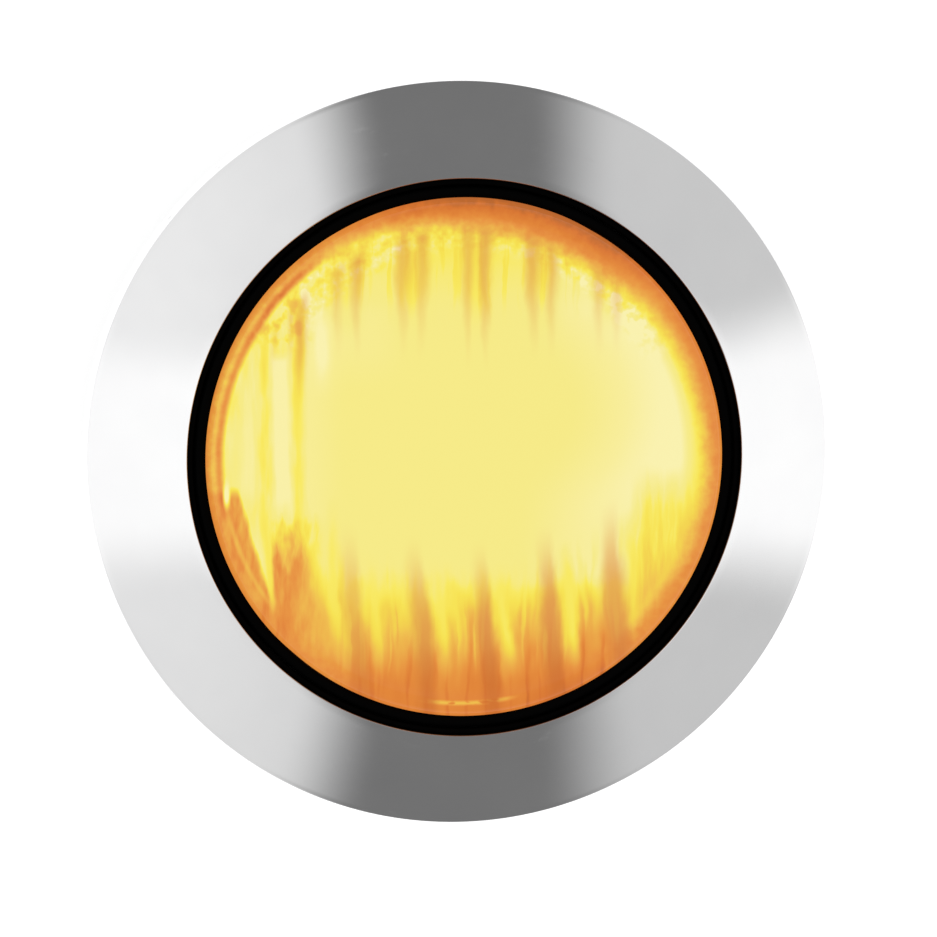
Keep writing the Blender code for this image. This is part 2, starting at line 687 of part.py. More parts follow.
def make_terminal_pin(name, side, material):
    """A bullet pin with a shoulder, a tenon through the strap and a peened head."""
    head_z = HOUSING_FLOOR_Z + 2 * FIT_GAP + STRAP_THICKNESS
    outline = [
        (0.0, head_z + PIN_HEAD_HEIGHT),
        (0.7 * PIN_HEAD_RADIUS, head_z + 0.85 * PIN_HEAD_HEIGHT),
        (PIN_HEAD_RADIUS, head_z + 0.3 * PIN_HEAD_HEIGHT),
        (PIN_HEAD_RADIUS, head_z),
        (PIN_TENON_RADIUS, head_z),
        (PIN_TENON_RADIUS, HOUSING_FLOOR_Z - PIN_SHOULDER_GAP),
        (PIN_RADIUS, HOUSING_FLOOR_Z - PIN_SHOULDER_GAP),
    ]
    outline += arc((0.0, PIN_TIP_Z + PIN_RADIUS), PIN_RADIUS, 0, -90, 6)[:-1]
    outline += [(0.0, PIN_TIP_Z)]
    return turned(name, outline, SMALL_STEPS, material, (side * PIN_SPACING / 2, 0.0))


def make_terminal_seal(name, side, material):
    low = seal_pocket_z() + FIT_GAP
    high = HOUSING_FLOOR_Z - FIT_GAP
    outline = seal_outline(PIN_RADIUS + FIT_GAP, seal_radius(), low, high)
    return turned(name, outline, SMALL_STEPS, material, (side * PIN_SPACING / 2, 0.0))


def main():
    for obj in list(bpy.data.objects):
        bpy.data.objects.remove(obj, do_unlink=True)
    surface("cutter", (0.8, 0.2, 0.2), 0.5)
    rubber = surface("black_rubber", (0.012, 0.012, 0.012), 0.7)
    soft_rubber = surface("grey_rubber", (0.06, 0.06, 0.06), 0.8)
    plastic = surface("black_plastic", (0.015, 0.015, 0.015), 0.45)
    brass = surface("brass", (0.72, 0.52, 0.22), 0.3, metallic=1.0)
    glass = surface("clear_glass", (0.95, 0.95, 0.95), 0.02, transmission=0.9)
    nickel = surface("nickel_wire", (0.55, 0.53, 0.50), 0.35, metallic=1.0)

    make_trim_ring(surface("polished_stainless", (0.80, 0.80, 0.81), 0.08, metallic=1.0))
    make_grommet(rubber)
    make_lens(surface("amber_lens", (0.95, 0.42, 0.05), 0.15, transmission=0.5))
    make_lens_seal(soft_rubber)
    make_housing(plastic)
    make_reflector(surface("bright_reflector", (0.88, 0.88, 0.86), 0.12, metallic=1.0))
    make_shock_mount(soft_rubber)
    make_bulb_glass(glass)
    make_bulb_stem(glass)
    make_bulb_cap(brass)
    make_cap_insulator(surface("black_glass", (0.01, 0.01, 0.01), 0.2))
    make_cap_contact(surface("solder", (0.60, 0.60, 0.62), 0.3, metallic=1.0))
    make_filament(surface("tungsten", (0.45, 0.42, 0.40), 0.4, metallic=1.0))
    make_hot_strap(brass)
    make_ground_strap(brass)
    for name, side in (("hot", 1), ("ground", -1)):
        make_filament_post(f"filament_post_{name}", side, nickel)
        make_terminal_pin(f"terminal_pin_{name}", side, brass)
        make_terminal_seal(f"terminal_seal_{name}", side, soft_rubber)


main()
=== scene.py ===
"""Looks for a 2-inch round amber marker light: fine meshes, materials, light and camera.

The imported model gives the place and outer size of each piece, and the named values below give the
rest. Lengths are in metres, apart from the material formulas, which work in millimetres in the
object's own space.
"""

import math

import bmesh
import bpy
from mathutils import Matrix, Vector


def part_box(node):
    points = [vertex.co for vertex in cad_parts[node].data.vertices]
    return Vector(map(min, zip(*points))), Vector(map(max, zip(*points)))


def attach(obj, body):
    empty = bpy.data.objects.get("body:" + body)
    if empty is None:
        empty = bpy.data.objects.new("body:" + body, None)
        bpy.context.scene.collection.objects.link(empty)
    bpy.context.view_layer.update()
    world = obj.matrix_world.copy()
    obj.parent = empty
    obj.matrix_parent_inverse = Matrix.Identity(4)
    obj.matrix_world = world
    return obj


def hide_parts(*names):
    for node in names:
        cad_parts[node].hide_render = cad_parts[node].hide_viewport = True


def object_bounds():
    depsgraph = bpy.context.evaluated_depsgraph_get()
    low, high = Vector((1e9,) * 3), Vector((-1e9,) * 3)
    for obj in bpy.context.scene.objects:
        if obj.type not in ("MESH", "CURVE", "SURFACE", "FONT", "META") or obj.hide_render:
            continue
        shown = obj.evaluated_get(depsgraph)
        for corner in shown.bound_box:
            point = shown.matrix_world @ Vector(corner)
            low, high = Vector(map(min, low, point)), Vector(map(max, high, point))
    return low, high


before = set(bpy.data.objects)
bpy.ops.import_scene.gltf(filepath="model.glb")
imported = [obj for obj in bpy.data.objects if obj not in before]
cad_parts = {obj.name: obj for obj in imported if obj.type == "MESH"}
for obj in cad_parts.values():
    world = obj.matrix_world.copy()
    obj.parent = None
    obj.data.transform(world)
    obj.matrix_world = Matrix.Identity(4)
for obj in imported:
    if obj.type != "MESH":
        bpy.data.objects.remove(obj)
cad_box = [list(corner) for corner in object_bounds()]

MM = 0.001
MERGE_DISTANCE = 1e-7
SHARP_DEGREES = 40
TURN_STEPS = 256

# Trim ring
RING_DOME_RADIUS = 60 * MM
RING_SHEET = 0.8 * MM
RING_EDGE_ROLL = 0.2 * MM
RING_RETURN_DEPTH = 1.8 * MM
RING_HOLE_RADIUS = 26.15 * MM
DIMPLE_COUNT = 4
DIMPLE_HALF_WIDTH = 3.2 * MM
DIMPLE_HALF_HEIGHT = 0.9 * MM
DIMPLE_RISE = 1.25 * MM
DIMPLE_DEPTH = 0.35 * MM
ROLL_POINTS = 7
FACE_STEPS = 24
SKIRT_STEPS = 12

# Grommet. Rises and drops are from the face of the panel that its flange sits on.
PANEL_FACE = 28 * MM
PANEL_SHEET = 3 * MM
GROOVE_RADIUS = 28.4 * MM
BEAD_RADIUS = 30.5 * MM
BEAD_EDGE = 0.1 * MM
BEAD_FOOT_DROP = 4.7 * MM
PARTING_DROP = 4.0 * MM
PARTING_STEP = 0.12 * MM
TAIL_RADIUS = 27.2 * MM
TAIL_CHAMFER = 1.0 * MM
LIP_INNER = 25.6 * MM
LIP_CLEARANCE = 0.03 * MM
COLLAR_RADIUS = 27.6 * MM
FLANGE_SHOULDER_RADIUS = 30.0 * MM
FLANGE_SHOULDER_RISE = 5.7 * MM
SLOPE_FOOT_RISE = 3.1 * MM
SLOPE_INSET = 0.3 * MM
FLANGE_EDGE_TOP_RISE = 2.2 * MM
FLANGE_EDGE_FOOT_RISE = 0.1 * MM
FLANGE_CHAMFER = 0.4 * MM
GROMMET_ROUNDING = 0.45 * MM
GROMMET_SHARP_DEGREES = 50

# Lens
LENS_SHOULDER_RADIUS = 22.2 * MM
LENS_SHOULDER_DROP = 2.7 * MM
LENS_EDGE_DROP = 4.6 * MM
LENS_WALL = 1.8 * MM
FLUTE_PITCH = 6.14 * MM
FLUTE_OFFSET = 1.5 * MM
FLUTE_DEPTH = 0.35 * MM
FLUTE_FADE = 1.2 * MM
COLUMNS_PER_FLUTE = 14
COLUMN_REACH = 0.995
FLUTE_ROWS = 40
LENS_DOME_STEPS = 28
LENS_SHOULDER_STEPS = 14
LENS_SIDE_STEPS = 4

# Housing
LAMP_RADIUS = 25.4 * MM
RIM_GAP = 0.06 * MM
BODY_RADIUS = 22.5 * MM
CUP_WALL = 1.5 * MM
FLANGE_LOW = 30.4 * MM
FLANGE_PLATE = 1.2 * MM
REAR_Z = 12.0 * MM
REAR_CHAMFER = 1.4 * MM
FLOOR_Z = 13.5 * MM
JOIN_Z = (REAR_Z + FLOOR_Z) / 2
WEB_HALF_WIDTH = 0.8 * MM
WEB_DROP = 2.5 * MM
WEB_TIP_DROP = 0.6 * MM
WEB_RUN_IN = 0.5 * MM
WEB_END_INSET = 3 * MM
WEB_ROUNDING = 0.25 * MM
SOCKET_HALF_SPAN = 6.5 * MM
SOCKET_RADIUS = 8.5 * MM
SOCKET_WALL = 3.0 * MM
SOCKET_DEPTH = 9.5 * MM
SOCKET_EDGE = 0.4 * MM
SOCKET_EDGE_POINTS = 6
SOCKET_END_STEPS = 32
HOLE_STEPS = 48
KEYWAY_HALF_WIDTH = 1.0 * MM
KEYWAY_DEPTH = 1.5 * MM
PIECE_GAP = 0.3 * MM
OVERLAP = 1.0 * MM
HOUSING_ROUNDING = 0.35 * MM

# Floor, light and camera. The view's middle lies a little right of and below the ring's middle.
FLOOR_HALF_WIDTH = 3.0
FLOOR_DROP = 0.02 * MM
TOP_LIGHT_HEIGHT = 1.2
TOP_LIGHT_SIZE = 1.2
TOP_LIGHT_WATTS = 5.0
STUDIO_MIDDLE_X = 0.124
STUDIO_MIDDLE_Y = -0.082
CARD_EDGE = (0.187, 0.395)
CARD_LEVEL = 1.072
FLAG_EDGE = (0.206, 0.458)
FLAG_LEVEL = 0.183
OVERHEAD_EDGE = (0.2, 0.5)
BACKDROP_LEVEL = 1.0
CAMERA_DISTANCE = 1.5
CAMERA_TILT_DEGREES = 10.0
CAMERA_LEAN = (-0.812, 0.583, 0.0)
SENSOR_WIDTH = 36.0
VIEW_WIDTH = 87.9 * MM
VIEW_RIGHT = 0.93 * MM
VIEW_DOWN = 1.45 * MM

RING_LOW, RING_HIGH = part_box("trim_ring")
GROMMET_LOW, GROMMET_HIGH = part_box("grommet")
LENS_LOW, LENS_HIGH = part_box("lens")
HOUSING_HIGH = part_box("lamp_housing")[1]
PIN_SIDES = ("hot", "ground")


# ---- Node formulas -----------------------------------------------------------------------------


class Number:
    """A value in a node tree. Arithmetic on Numbers adds Math nodes."""

    def __init__(self, tree, socket):
        self.tree = tree
        self.socket = socket

    def math(self, operation, *others):
        node = self.tree.nodes.new("ShaderNodeMath")
        node.operation = operation
        for slot, value in enumerate((self, *others)):
            plug(self.tree, value, node.inputs[slot])
        return Number(self.tree, node.outputs[0])

    def __add__(self, other):
        return self.math("ADD", other)

    def __radd__(self, other):
        return self.math("ADD", other)

    def __sub__(self, other):
        return self.math("SUBTRACT", other)

    def __rsub__(self, other):
        return (self * -1.0).math("ADD", other)

    def __mul__(self, other):
        return self.math("MULTIPLY", other)

    def __rmul__(self, other):
        return self.math("MULTIPLY", other)

    def __truediv__(self, other):
        return self.math("DIVIDE", other)


def plug(tree, value, socket):
    """Feeds a Number or a plain value into a node's input."""
    if isinstance(value, Number):
        tree.links.new(value.socket, socket)
    else:
        socket.default_value = value


def absolute(value):
    return value.math("ABSOLUTE")


def floor(value):
    return value.math("FLOOR")


def root(value):
    return value.math("SQRT")


def least(value, other):
    return value.math("MINIMUM", other)


def most(value, other):
    return value.math("MAXIMUM", other)


def smooth(low, high, value):
    """0 below low, 1 above high, with a soft step between."""
    node = value.tree.nodes.new("ShaderNodeMapRange")
    node.interpolation_type = "SMOOTHSTEP"
    plug(value.tree, value, node.inputs["Value"])
    plug(value.tree, low, node.inputs["From Min"])
    plug(value.tree, high, node.inputs["From Max"])
    return Number(value.tree, node.outputs["Result"])


def blend(start, end, share):
    """start where share is 0, end where it is 1."""
    node = share.tree.nodes.new("ShaderNodeMapRange")
    plug(share.tree, share, node.inputs["Value"])
    plug(share.tree, start, node.inputs["To Min"])
    plug(share.tree, end, node.inputs["To Max"])
    return Number(share.tree, node.outputs["Result"])


def near(value, middle, half_width):
    """1 at the middle, falling softly to 0 at half_width each side."""
    return 1.0 - smooth(0.0, half_width, absolute(value - middle))


def window(low, high, soft, value):
    """1 between low and high, 0 outside them, with soft ends."""
    return smooth(low - soft, low + soft, value) * (1.0 - smooth(high - soft, high + soft, value))


def noise(x, y, layer, detail=1.0):
    """Smooth noise from about 0 to 1. Each layer is a different pattern."""
    tree = x.tree if isinstance(x, Number) else y.tree
    join = tree.nodes.new("ShaderNodeCombineXYZ")
    plug(tree, x, join.inputs["X"])
    plug(tree, y, join.inputs["Y"])
    join.inputs["Z"].default_value = 7.3 * layer
    texture = tree.nodes.new("ShaderNodeTexNoise")
    texture.inputs["Scale"].default_value = 1.0
    texture.inputs["Detail"].default_value = detail
    tree.links.new(join.outputs[0], texture.inputs["Vector"])
    return (Number(tree, texture.outputs["Fac"]) - 0.5) * 1.9 + 0.5


def object_place(tree):
    """The point being shaded, as x, y and z Numbers in millimetres in the object's own space."""
    coords = tree.nodes.new("ShaderNodeTexCoord")
    split = tree.nodes.new("ShaderNodeSeparateXYZ")
    tree.links.new(coords.outputs["Object"], split.inputs[0])
    return [Number(tree, socket) * 1000.0 for socket in split.outputs]


def distance(x, y):
    """Distance from x, y = 0. The small number keeps the square root away from 0."""
    return root(x * x + y * y + 0.0001)


def arc_length(x, y, radius):
    """How far round the axis a point lies, along an arc of this radius."""
    return y.math("ARCTAN2", x) * radius


def colour_ramp(tree, value, stops):
    """A colour from a value, through (place, colour) stops."""
    node = tree.nodes.new("ShaderNodeValToRGB")
    elements = node.color_ramp.elements
    while len(elements) < len(stops):
        elements.new(0.5)
    for element, (place, colour) in zip(elements, stops):
        element.position = place
        element.color = (*colour, 1.0)
    plug(tree, value, node.inputs[0])
    return node.outputs["Color"]


def mixed_colour(tree, share, start, end):
    node = tree.nodes.new("ShaderNodeMixRGB")
    plug(tree, share, node.inputs["Fac"])
    tree.links.new(start, node.inputs["Color1"])
    tree.links.new(end, node.inputs["Color2"])
    return node.outputs["Color"]


def linear(red, green, blue):
    """A display colour, 0 to 255, as the linear light that a shader takes."""
    channels = []
    for part in (red, green, blue):
        share = part / 255
        channels.append(share / 12.92 if share <= 0.04045 else ((share + 0.055) / 1.055) ** 2.4)
    return tuple(channels)


def add_bump(tree, shader, height, depth, strength=1.0):
    """Bump from a height Number, where a height of 1 stands for the depth given in metres."""
    bump = tree.nodes.new("ShaderNodeBump")
    bump.inputs["Strength"].default_value = strength
    bump.inputs["Distance"].default_value = depth
    plug(tree, height, bump.inputs["Height"])
    tree.links.new(bump.outputs[0], shader.inputs["Normal"])


def new_material(name):
    material = bpy.data.materials.new(name)
    material.use_nodes = True
    return material, material.node_tree, material.node_tree.nodes["Principled BSDF"]


# ---- Materials ---------------------------------------------------------------------------------

# The black of the painted shade on the rubber lip and the housing rim, and the darkest tone of the plastic.
DEEP_BLACK = (0.0008, 0.0008, 0.0008)


def polished_steel():
    """Mirror-bright pressed sheet with faint polishing lines and haze, painted dark and rough at the hole
    edge as shade.
    """
    material, tree, shader = new_material("polished_steel")
    x, y, z = object_place(tree)
    radius = distance(x, y)
    arc = arc_length(x, y, 30.0)
    haze = noise(x * 0.12, y * 0.12, 1, 3.0)
    lines = noise(arc * 0.05, radius * 6.0 + z * 4.0, 2, 2.0)
    scuffs = smooth(0.74, 0.90, noise(arc * 0.35, radius * 2.2 + z * 2.0, 3, 3.0))
    hole = RING_HOLE_RADIUS / MM
    # Painted shade: the hole edge, beside the rubber lip, is painted nearly black and made rough.
    hole_edge_shade = 1.0 - smooth(hole + 0.02, hole + 0.20, radius)
    stops = [(0.0, (0.03, 0.03, 0.03)), (0.4, (0.88, 0.88, 0.885)), (1.0, (0.93, 0.93, 0.93))]
    tint = colour_ramp(tree, (0.4 + 0.6 * haze) * (1.0 - hole_edge_shade), stops)
    tree.links.new(tint, shader.inputs["Base Color"])
    shader.inputs["Metallic"].default_value = 1.0
    roughness = 0.075 + 0.03 * haze + 0.02 * lines + 0.05 * scuffs + 0.3 * hole_edge_shade
    plug(tree, roughness, shader.inputs["Roughness"])
    add_bump(tree, shader, lines * 0.4 + scuffs * 0.5, 0.001 * MM)
    return material


def black_rubber():
    """Matt moulded rubber with a fine skin texture and a little dust. Its lip is painted deep black as
    shade, without dust and with almost no specular.
    """
    material, tree, shader = new_material("black_rubber")
    x, y, z = object_place(tree)
    skin = noise(x * 7.0 + z * 3.0, y * 7.0 - z * 5.0, 1, 3.0)
    dust = smooth(0.45, 0.95, noise(x * 0.5 + z * 0.3, y * 0.5 - z * 0.4, 2, 4.0))
    # Painted shade: from this height up, the lip is deep black, has no dust and almost no specular.
    body = 1.0 - smooth(34.4, 35.6, z)
    stops = [(0.0, DEEP_BLACK), (0.3, (0.009, 0.009, 0.009)), (1.0, (0.030, 0.029, 0.028))]
    shade = colour_ramp(tree, (0.3 + 0.7 * dust) * body, stops)
    tree.links.new(shade, shader.inputs["Base Color"])
    plug(tree, 0.60 + 0.15 * skin + 0.15 * dust, shader.inputs["Roughness"])
    plug(tree, 0.01 + 0.24 * body, shader.inputs["Specular IOR Level"])
    add_bump(tree, shader, skin, 0.02 * MM, 0.8)
    return material


def black_plastic():
    """Moulded plastic with a spark-eroded grain. Its rim, beside the lens, is painted deep black as shade,
    with almost no specular.
    """
    material, tree, shader = new_material("black_plastic")
    x, y, z = object_place(tree)
    grain = noise(x * 5.0 + z * 2.0, y * 5.0 - z * 3.0, 3, 2.0)
    flow = noise(x * 0.2 + z * 0.1, y * 0.25, 4, 3.0)
    # Painted shade: the rim at the top, beside the lens, is deep black and nearly unreflective.
    rim = smooth(32.0, 34.0, z)
    stops = [(0.0, DEEP_BLACK), (0.3, (0.008, 0.008, 0.008)), (1.0, (0.018, 0.018, 0.018))]
    shade = colour_ramp(tree, flow * (1.0 - rim), stops)
    tree.links.new(shade, shader.inputs["Base Color"])
    plug(tree, 0.38 + 0.12 * grain + 0.06 * flow, shader.inputs["Roughness"])
    plug(tree, 0.35 - 0.34 * rim, shader.inputs["Specular IOR Level"])
    add_bump(tree, shader, grain, 0.02 * MM, 0.7)
    return material


def grey_rubber():
    """Soft grey rubber of the seals and the bulb's mount."""
    material, tree, shader = new_material("grey_rubber")
    x, y, z = object_place(tree)
    skin = noise(x * 4.0 + z * 2.0, y * 4.0 - z * 3.0, 5, 3.0)
    shade = colour_ramp(tree, skin, [(0.0, (0.045, 0.045, 0.047)), (1.0, (0.075, 0.075, 0.074))])
    tree.links.new(shade, shader.inputs["Base Color"])
    plug(tree, 0.6 + 0.2 * skin, shader.inputs["Roughness"])
    add_bump(tree, shader, skin, 0.02 * MM, 0.6)
    return material


def formed_metal(name, dull, bright, roughness):
    """Small formed metal parts: drawn lines along Z, patches of tarnish."""
    material, tree, shader = new_material(name)
    x, y, z = object_place(tree)
    tarnish = noise(x * 0.8 + z * 0.3, y * 0.8 + z * 0.4, 6, 4.0)
    drawn = noise(x * 9.0 + y * 7.0, z * 0.8, 7, 2.0)
    tint = colour_ramp(tree, tarnish, [(0.2, dull), (0.8, bright)])
    tree.links.new(tint, shader.inputs["Base Color"])
    shader.inputs["Metallic"].default_value = 1.0
    plug(tree, roughness + 0.12 * tarnish + 0.06 * drawn, shader.inputs["Roughness"])
    add_bump(tree, shader, drawn, 0.004 * MM, 0.6)
    return material


def bright_plating():
    """Vacuum plating on moulded plastic, with a slight orange-peel."""
    material, tree, shader = new_material("bright_plating")
    x, y, z = object_place(tree)
    peel = noise(x * 0.9, y * 0.9 + z * 0.5, 8, 2.0)
    tint = colour_ramp(tree, peel, [(0.0, (0.86, 0.86, 0.84)), (1.0, (0.92, 0.92, 0.90))])
    tree.links.new(tint, shader.inputs["Base Color"])
    shader.inputs["Metallic"].default_value = 1.0
    plug(tree, 0.08 + 0.08 * peel, shader.inputs["Roughness"])
    add_bump(tree, shader, peel, 0.01 * MM, 0.5)
    return material


def clear_glass():
    material, tree, shader = new_material("clear_glass")
    x, y, z = object_place(tree)
    draw = noise(x * 0.6 + y * 0.6, z * 0.4, 9, 2.0)
    tint = colour_ramp(tree, draw, [(0.0, (0.95, 0.96, 0.95)), (1.0, (0.99, 0.99, 0.98))])
    tree.links.new(tint, shader.inputs["Base Color"])
    plug(tree, 0.01 + 0.03 * draw, shader.inputs["Roughness"])
    shader.inputs["Transmission Weight"].default_value = 1.0
    return material


def black_glass():
    material, tree, shader = new_material("black_glass")
    x, y, z = object_place(tree)
    swirl = noise(x * 1.5, y * 1.5 + z, 10, 3.0)
    shade = colour_ramp(tree, swirl, [(0.0, (0.008, 0.008, 0.009)), (1.0, (0.02, 0.018, 0.022))])
    tree.links.new(shade, shader.inputs["Base Color"])
    plug(tree, 0.08 + 0.1 * swirl, shader.inputs["Roughness"])
    return material


# How warm light through amber plastic looks, from the shaded rim to the brightest cream
GLOW_COLOURS = [
    (0.00, (190, 106, 50)),
    (0.08, (218, 118, 50)),
    (0.20, (228, 134, 56)),
    (0.30, (233, 147, 62)),
    (0.45, (237, 170, 70)),
    (0.60, (241, 193, 75)),
    (0.72, (244, 214, 72)),
    (0.82, (247, 229, 78)),
    (0.88, (248, 235, 95)),
    (0.93, (246, 236, 132)),
    (0.95, (245, 236, 137)),
    (0.98, (247, 239, 157)),
    (1.00, (249, 243, 178)),
]


# The height in the lens, in millimetres, at which the glow is drawn as the photograph shows it, and
# how far it leans in x and y for each millimetre above or below that
GLOW_HEIGHT = 35.8
GLOW_LEAN_X = 0.141
GLOW_LEAN_Y = 0.101


def bent(x, y):
    """x moved a little by slow and quick waves, since no moulded flute is quite straight."""
    slow = noise(x * 0.45, y * 0.16, 21) - 0.5
    quick = noise(x * 2.2, y * 0.7, 22) - 0.5
    return x + 0.5 * slow + 0.16 * quick


def main_glow(x, y, radius):
    """The bulb's broad glow: a plateau that pales towards its right edge and falls off above and below."""
    outward = smooth(3.0, 15.0, distance(x - 5.9, y - 4.4))
    cream = outward * smooth(4.0, 12.0, x) * (1.0 - 0.4 * smooth(-2.0, -9.0, y))
    left = smooth(-10.5, -15.0, x) + 0.7 * smooth(5.0, 11.0, y) * smooth(-4.0, -9.0, x)
    wobble = noise(x * 0.9, y * 0.3, 1) - 0.5
    deep = smooth(-10.0, -23.5, y + 2.0 * wobble)
    field = 0.947 + 0.058 * cream + 0.020 * left
    field = field - 0.035 * smooth(13.0, 17.5, y) - 0.05 * smooth(16.5, 20.5, y)
    field = field - 0.06 * smooth(19.5, 22.0, y)
    field = field - 0.14 * smooth(20.3, 22.6, radius) * smooth(0.5, 0.9, x / radius)
    low = smooth(-11.0, -15.0, y)
    field = field + 0.06 * low * near(x, -2.5, 4.5) - 0.12 * low * smooth(5.0, 9.0, x)
    return field - 0.78 * deep


def flute_place(x):
    """The number of the flute edge nearest to x, and the distance from it."""
    pitch = FLUTE_PITCH / MM
    phase = x / pitch
    index = floor(phase + 0.5)
    return index, (phase - index) * pitch


def lower_flutes(field, x, bent_x, y):
    """Below the middle, each flute edge gives a dark tapered streak with a bright one beside it."""
    lean = 0.094 * most(-9.0 - y, 0.0) * smooth(-17.0, -9.0, x)
    index, place = flute_place(bent_x - 1.65 - lean)
    vary = noise(index * 4.3 + 0.37, 2.0, 5) - 0.5
    middle = near(index, 0.4, 3.6)
    inside = smooth(-13.4, -12.2, x) * (1.0 - smooth(16.7, 17.7, x))
    below = 0.017 * x * x - 9.0 + 1.8 * vary - y
    strands = smooth(0.50, 0.95, noise(bent_x * 1.1, y * 0.09, 23))
    lights = smooth(0.55, 0.85, noise(bent_x * 1.3, y * 0.08, 24))
    region = smooth(0.5, 7.0, below) * inside
    fade = 1.0 - smooth(16.5, 21.5, y * -1.0)
    field = field - 0.14 * strands * region
    field = blend(field, 0.86, 0.5 * lights * region * fade)
    bright = near(place, 1.75, 1.05 + 0.3 * vary) * smooth(0.5, 4.5, below) * fade
    field = blend(field, 0.88, bright * inside * (0.55 + 0.45 * middle))
    width = 0.95 + 0.30 * smooth(0.0, 8.0, below) + 0.2 * vary
    width = width + 0.8 * near(index, 2.0, 0.6) * smooth(2.0, 9.0, below) * smooth(-0.3, 0.3, place)
    dark = 1.0 - smooth(0.12, 1.0, absolute(place) * blend(0.75, 1.15, smooth(-0.3, 0.3, place)) / width)
    share = (0.45 + 0.45 * middle + 0.15 * vary) * smooth(-1.5, 7.0, below)
    return field, dark * share * inside


def upper_flutes(field, x, bent_x, y, radius):
    """Above the middle, each flute edge gives a pair of streaks under a crown of bright flecks."""
    index, place = flute_place(bent_x - 1.3)
    vary = noise(index * 3.7 + 0.31, 7.0, 3)
    right = smooth(-0.2, 0.2, place)
    strength = 0.34 + 0.44 * noise(index * 5.1 + 2.3 * right + 0.27, 3.0, 4)
    width = 0.40 + 0.62 * smooth(9.0, 20.0, y) + 0.25 * vary
    pair = near(absolute(place), 0.88, width)
    end = 6.5 + 3.0 * vary
    dark = strength * pair * smooth(end, end + 10.5, y)
    outer_flute = near(bent_x, -15.3, 0.9) * smooth(5.0, 12.0, y) * (1.0 - smooth(17.0, 19.0, y))
    dark = most(dark, 0.5 * outer_flute) * (1.0 - smooth(20.8, 22.0, radius))
    field = field - 0.07 * near(place, 0.0, 2.3) * smooth(end + 2.0, end + 10.0, y)
    strands = smooth(0.55, 0.85, noise(bent_x * 1.6, y * 0.12, 25))
    field = field - 0.08 * strands * smooth(12.0, 18.0, y)
    arc = arc_length(x, y, 22.0)
    caustic = noise(arc * 0.85, radius * 0.95, 8, 2.0) - 0.5
    crown = smooth(8.0, 14.0, y) * smooth(18.6, 20.6, radius) * (1.0 - smooth(22.2, 23.2, radius))
    return field + 0.36 * caustic * crown, dark


def left_bars(field, x, y):
    """The outermost flutes on the left: upright cream bars between darker yellow edges."""
    grain = noise(x * 1.8, y * 0.30, 26)
    yellow = smooth(-14.4, -16.2, x) * window(-7.0, 15.0, 2.5, y)
    field = blend(field, 0.87 + 0.10 * grain, yellow)
    pale = window(-22.4, -19.8, 0.8, x) * window(-3.5, 3.5, 3.0, y)
    field = blend(field, 0.955, 0.7 * pale)
    edge_x = x + 0.25 * (noise(x * 0.4, y * 0.35, 28) - 0.5)
    across = edge_x + 17.1 + 0.026 * y
    bar = window(-0.85, 0.85, 0.35, across) * smooth(-7.0, -3.5, y) * (1.0 - smooth(9.0, 10.2, y))
    bar = most(bar, 0.7 * window(-20.8, -19.5, 0.5, edge_x) * window(-4.5, 8.0, 2.5, y))
    towards_top = smooth(3.5, 10.0, y)
    dark = (0.06 + 0.06 * towards_top) * near(edge_x, -18.7, 0.5) * window(-7.0, 13.0, 2.0, y)
    dark = dark + (0.07 + 0.14 * towards_top) * near(edge_x, -15.5, 0.8) * window(-12.0, 14.5, 2.5, y)
    field = blend(field - dark, 0.992, bar)
    field = field + 0.035 * near(edge_x, -13.25, 1.2) * window(7.5, 13.0, 2.5, y)
    blotch = smooth(0.35, 0.80, noise(x * 0.9, y * 0.7, 27, 2.0))
    corner = smooth(0.0, 2.5, y - 9.6 + 0.15 * (x + 17.0)) * (1.0 - smooth(-16.6, -13.6, x))
    return field - 0.26 * corner * blotch


def left_foot(field, bent_x, y):
    """Lower left: orange patches between bright slanting lines."""
    grain = noise(bent_x * 1.4, y * 0.35, 29, 2.0) - 0.5
    edge = -18.75 - 0.30 * (y + 11.6)
    patch = smooth(-0.35, 0.35, edge - bent_x) * smooth(-2.4, -3.8, y)
    field = blend(field, 0.36 + 0.42 * grain, patch)
    foot = smooth(-18.6, -17.4, bent_x) * (1.0 - smooth(-16.6, -12.6, bent_x))
    foot = foot * smooth(-4.8, -11.5, y + 3.0 * grain)
    field = blend(field, 0.30 + 0.30 * grain, foot)
    soft = window(-15.6, -12.6, 1.2, bent_x) * smooth(-9.5, -18.0, y)
    field = blend(field, 0.46 + 0.30 * grain, soft * 0.8)
    beam = near(bent_x + 0.06 * (y + 10.0), -18.35, 0.65) * window(-13.0, -5.0, 1.8, y)
    field = blend(field, 0.84, beam * 0.9)
    shaft = near(bent_x, -12.2, 1.0) * window(-16.5, -6.0, 3.0, y)
    return blend(field, 0.87, shaft * 0.8)


def right_foot(field, x, bent_x, y, radius):
    """Lower right: a bright line bends along the rim round a deep yellow field."""
    lines = noise(bent_x * 1.6, y * 0.18, 30, 2.0) - 0.5
    patch = window(16.6, 22.6, 1.1, x) * smooth(-0.5, -9.0, y)
    field = blend(field, 0.76 - 0.22 * smooth(-7.0, -15.0, y) + 0.28 * lines, patch * 0.9)
    slope = y / radius
    hook = near(radius, 22.3, 0.9) * smooth(0.55, 0.75, x / radius)
    hook = hook * (1.0 - smooth(-0.25, -0.15, slope)) * smooth(-0.80, -0.70, slope)
    return blend(field, 0.72, hook * 0.6)


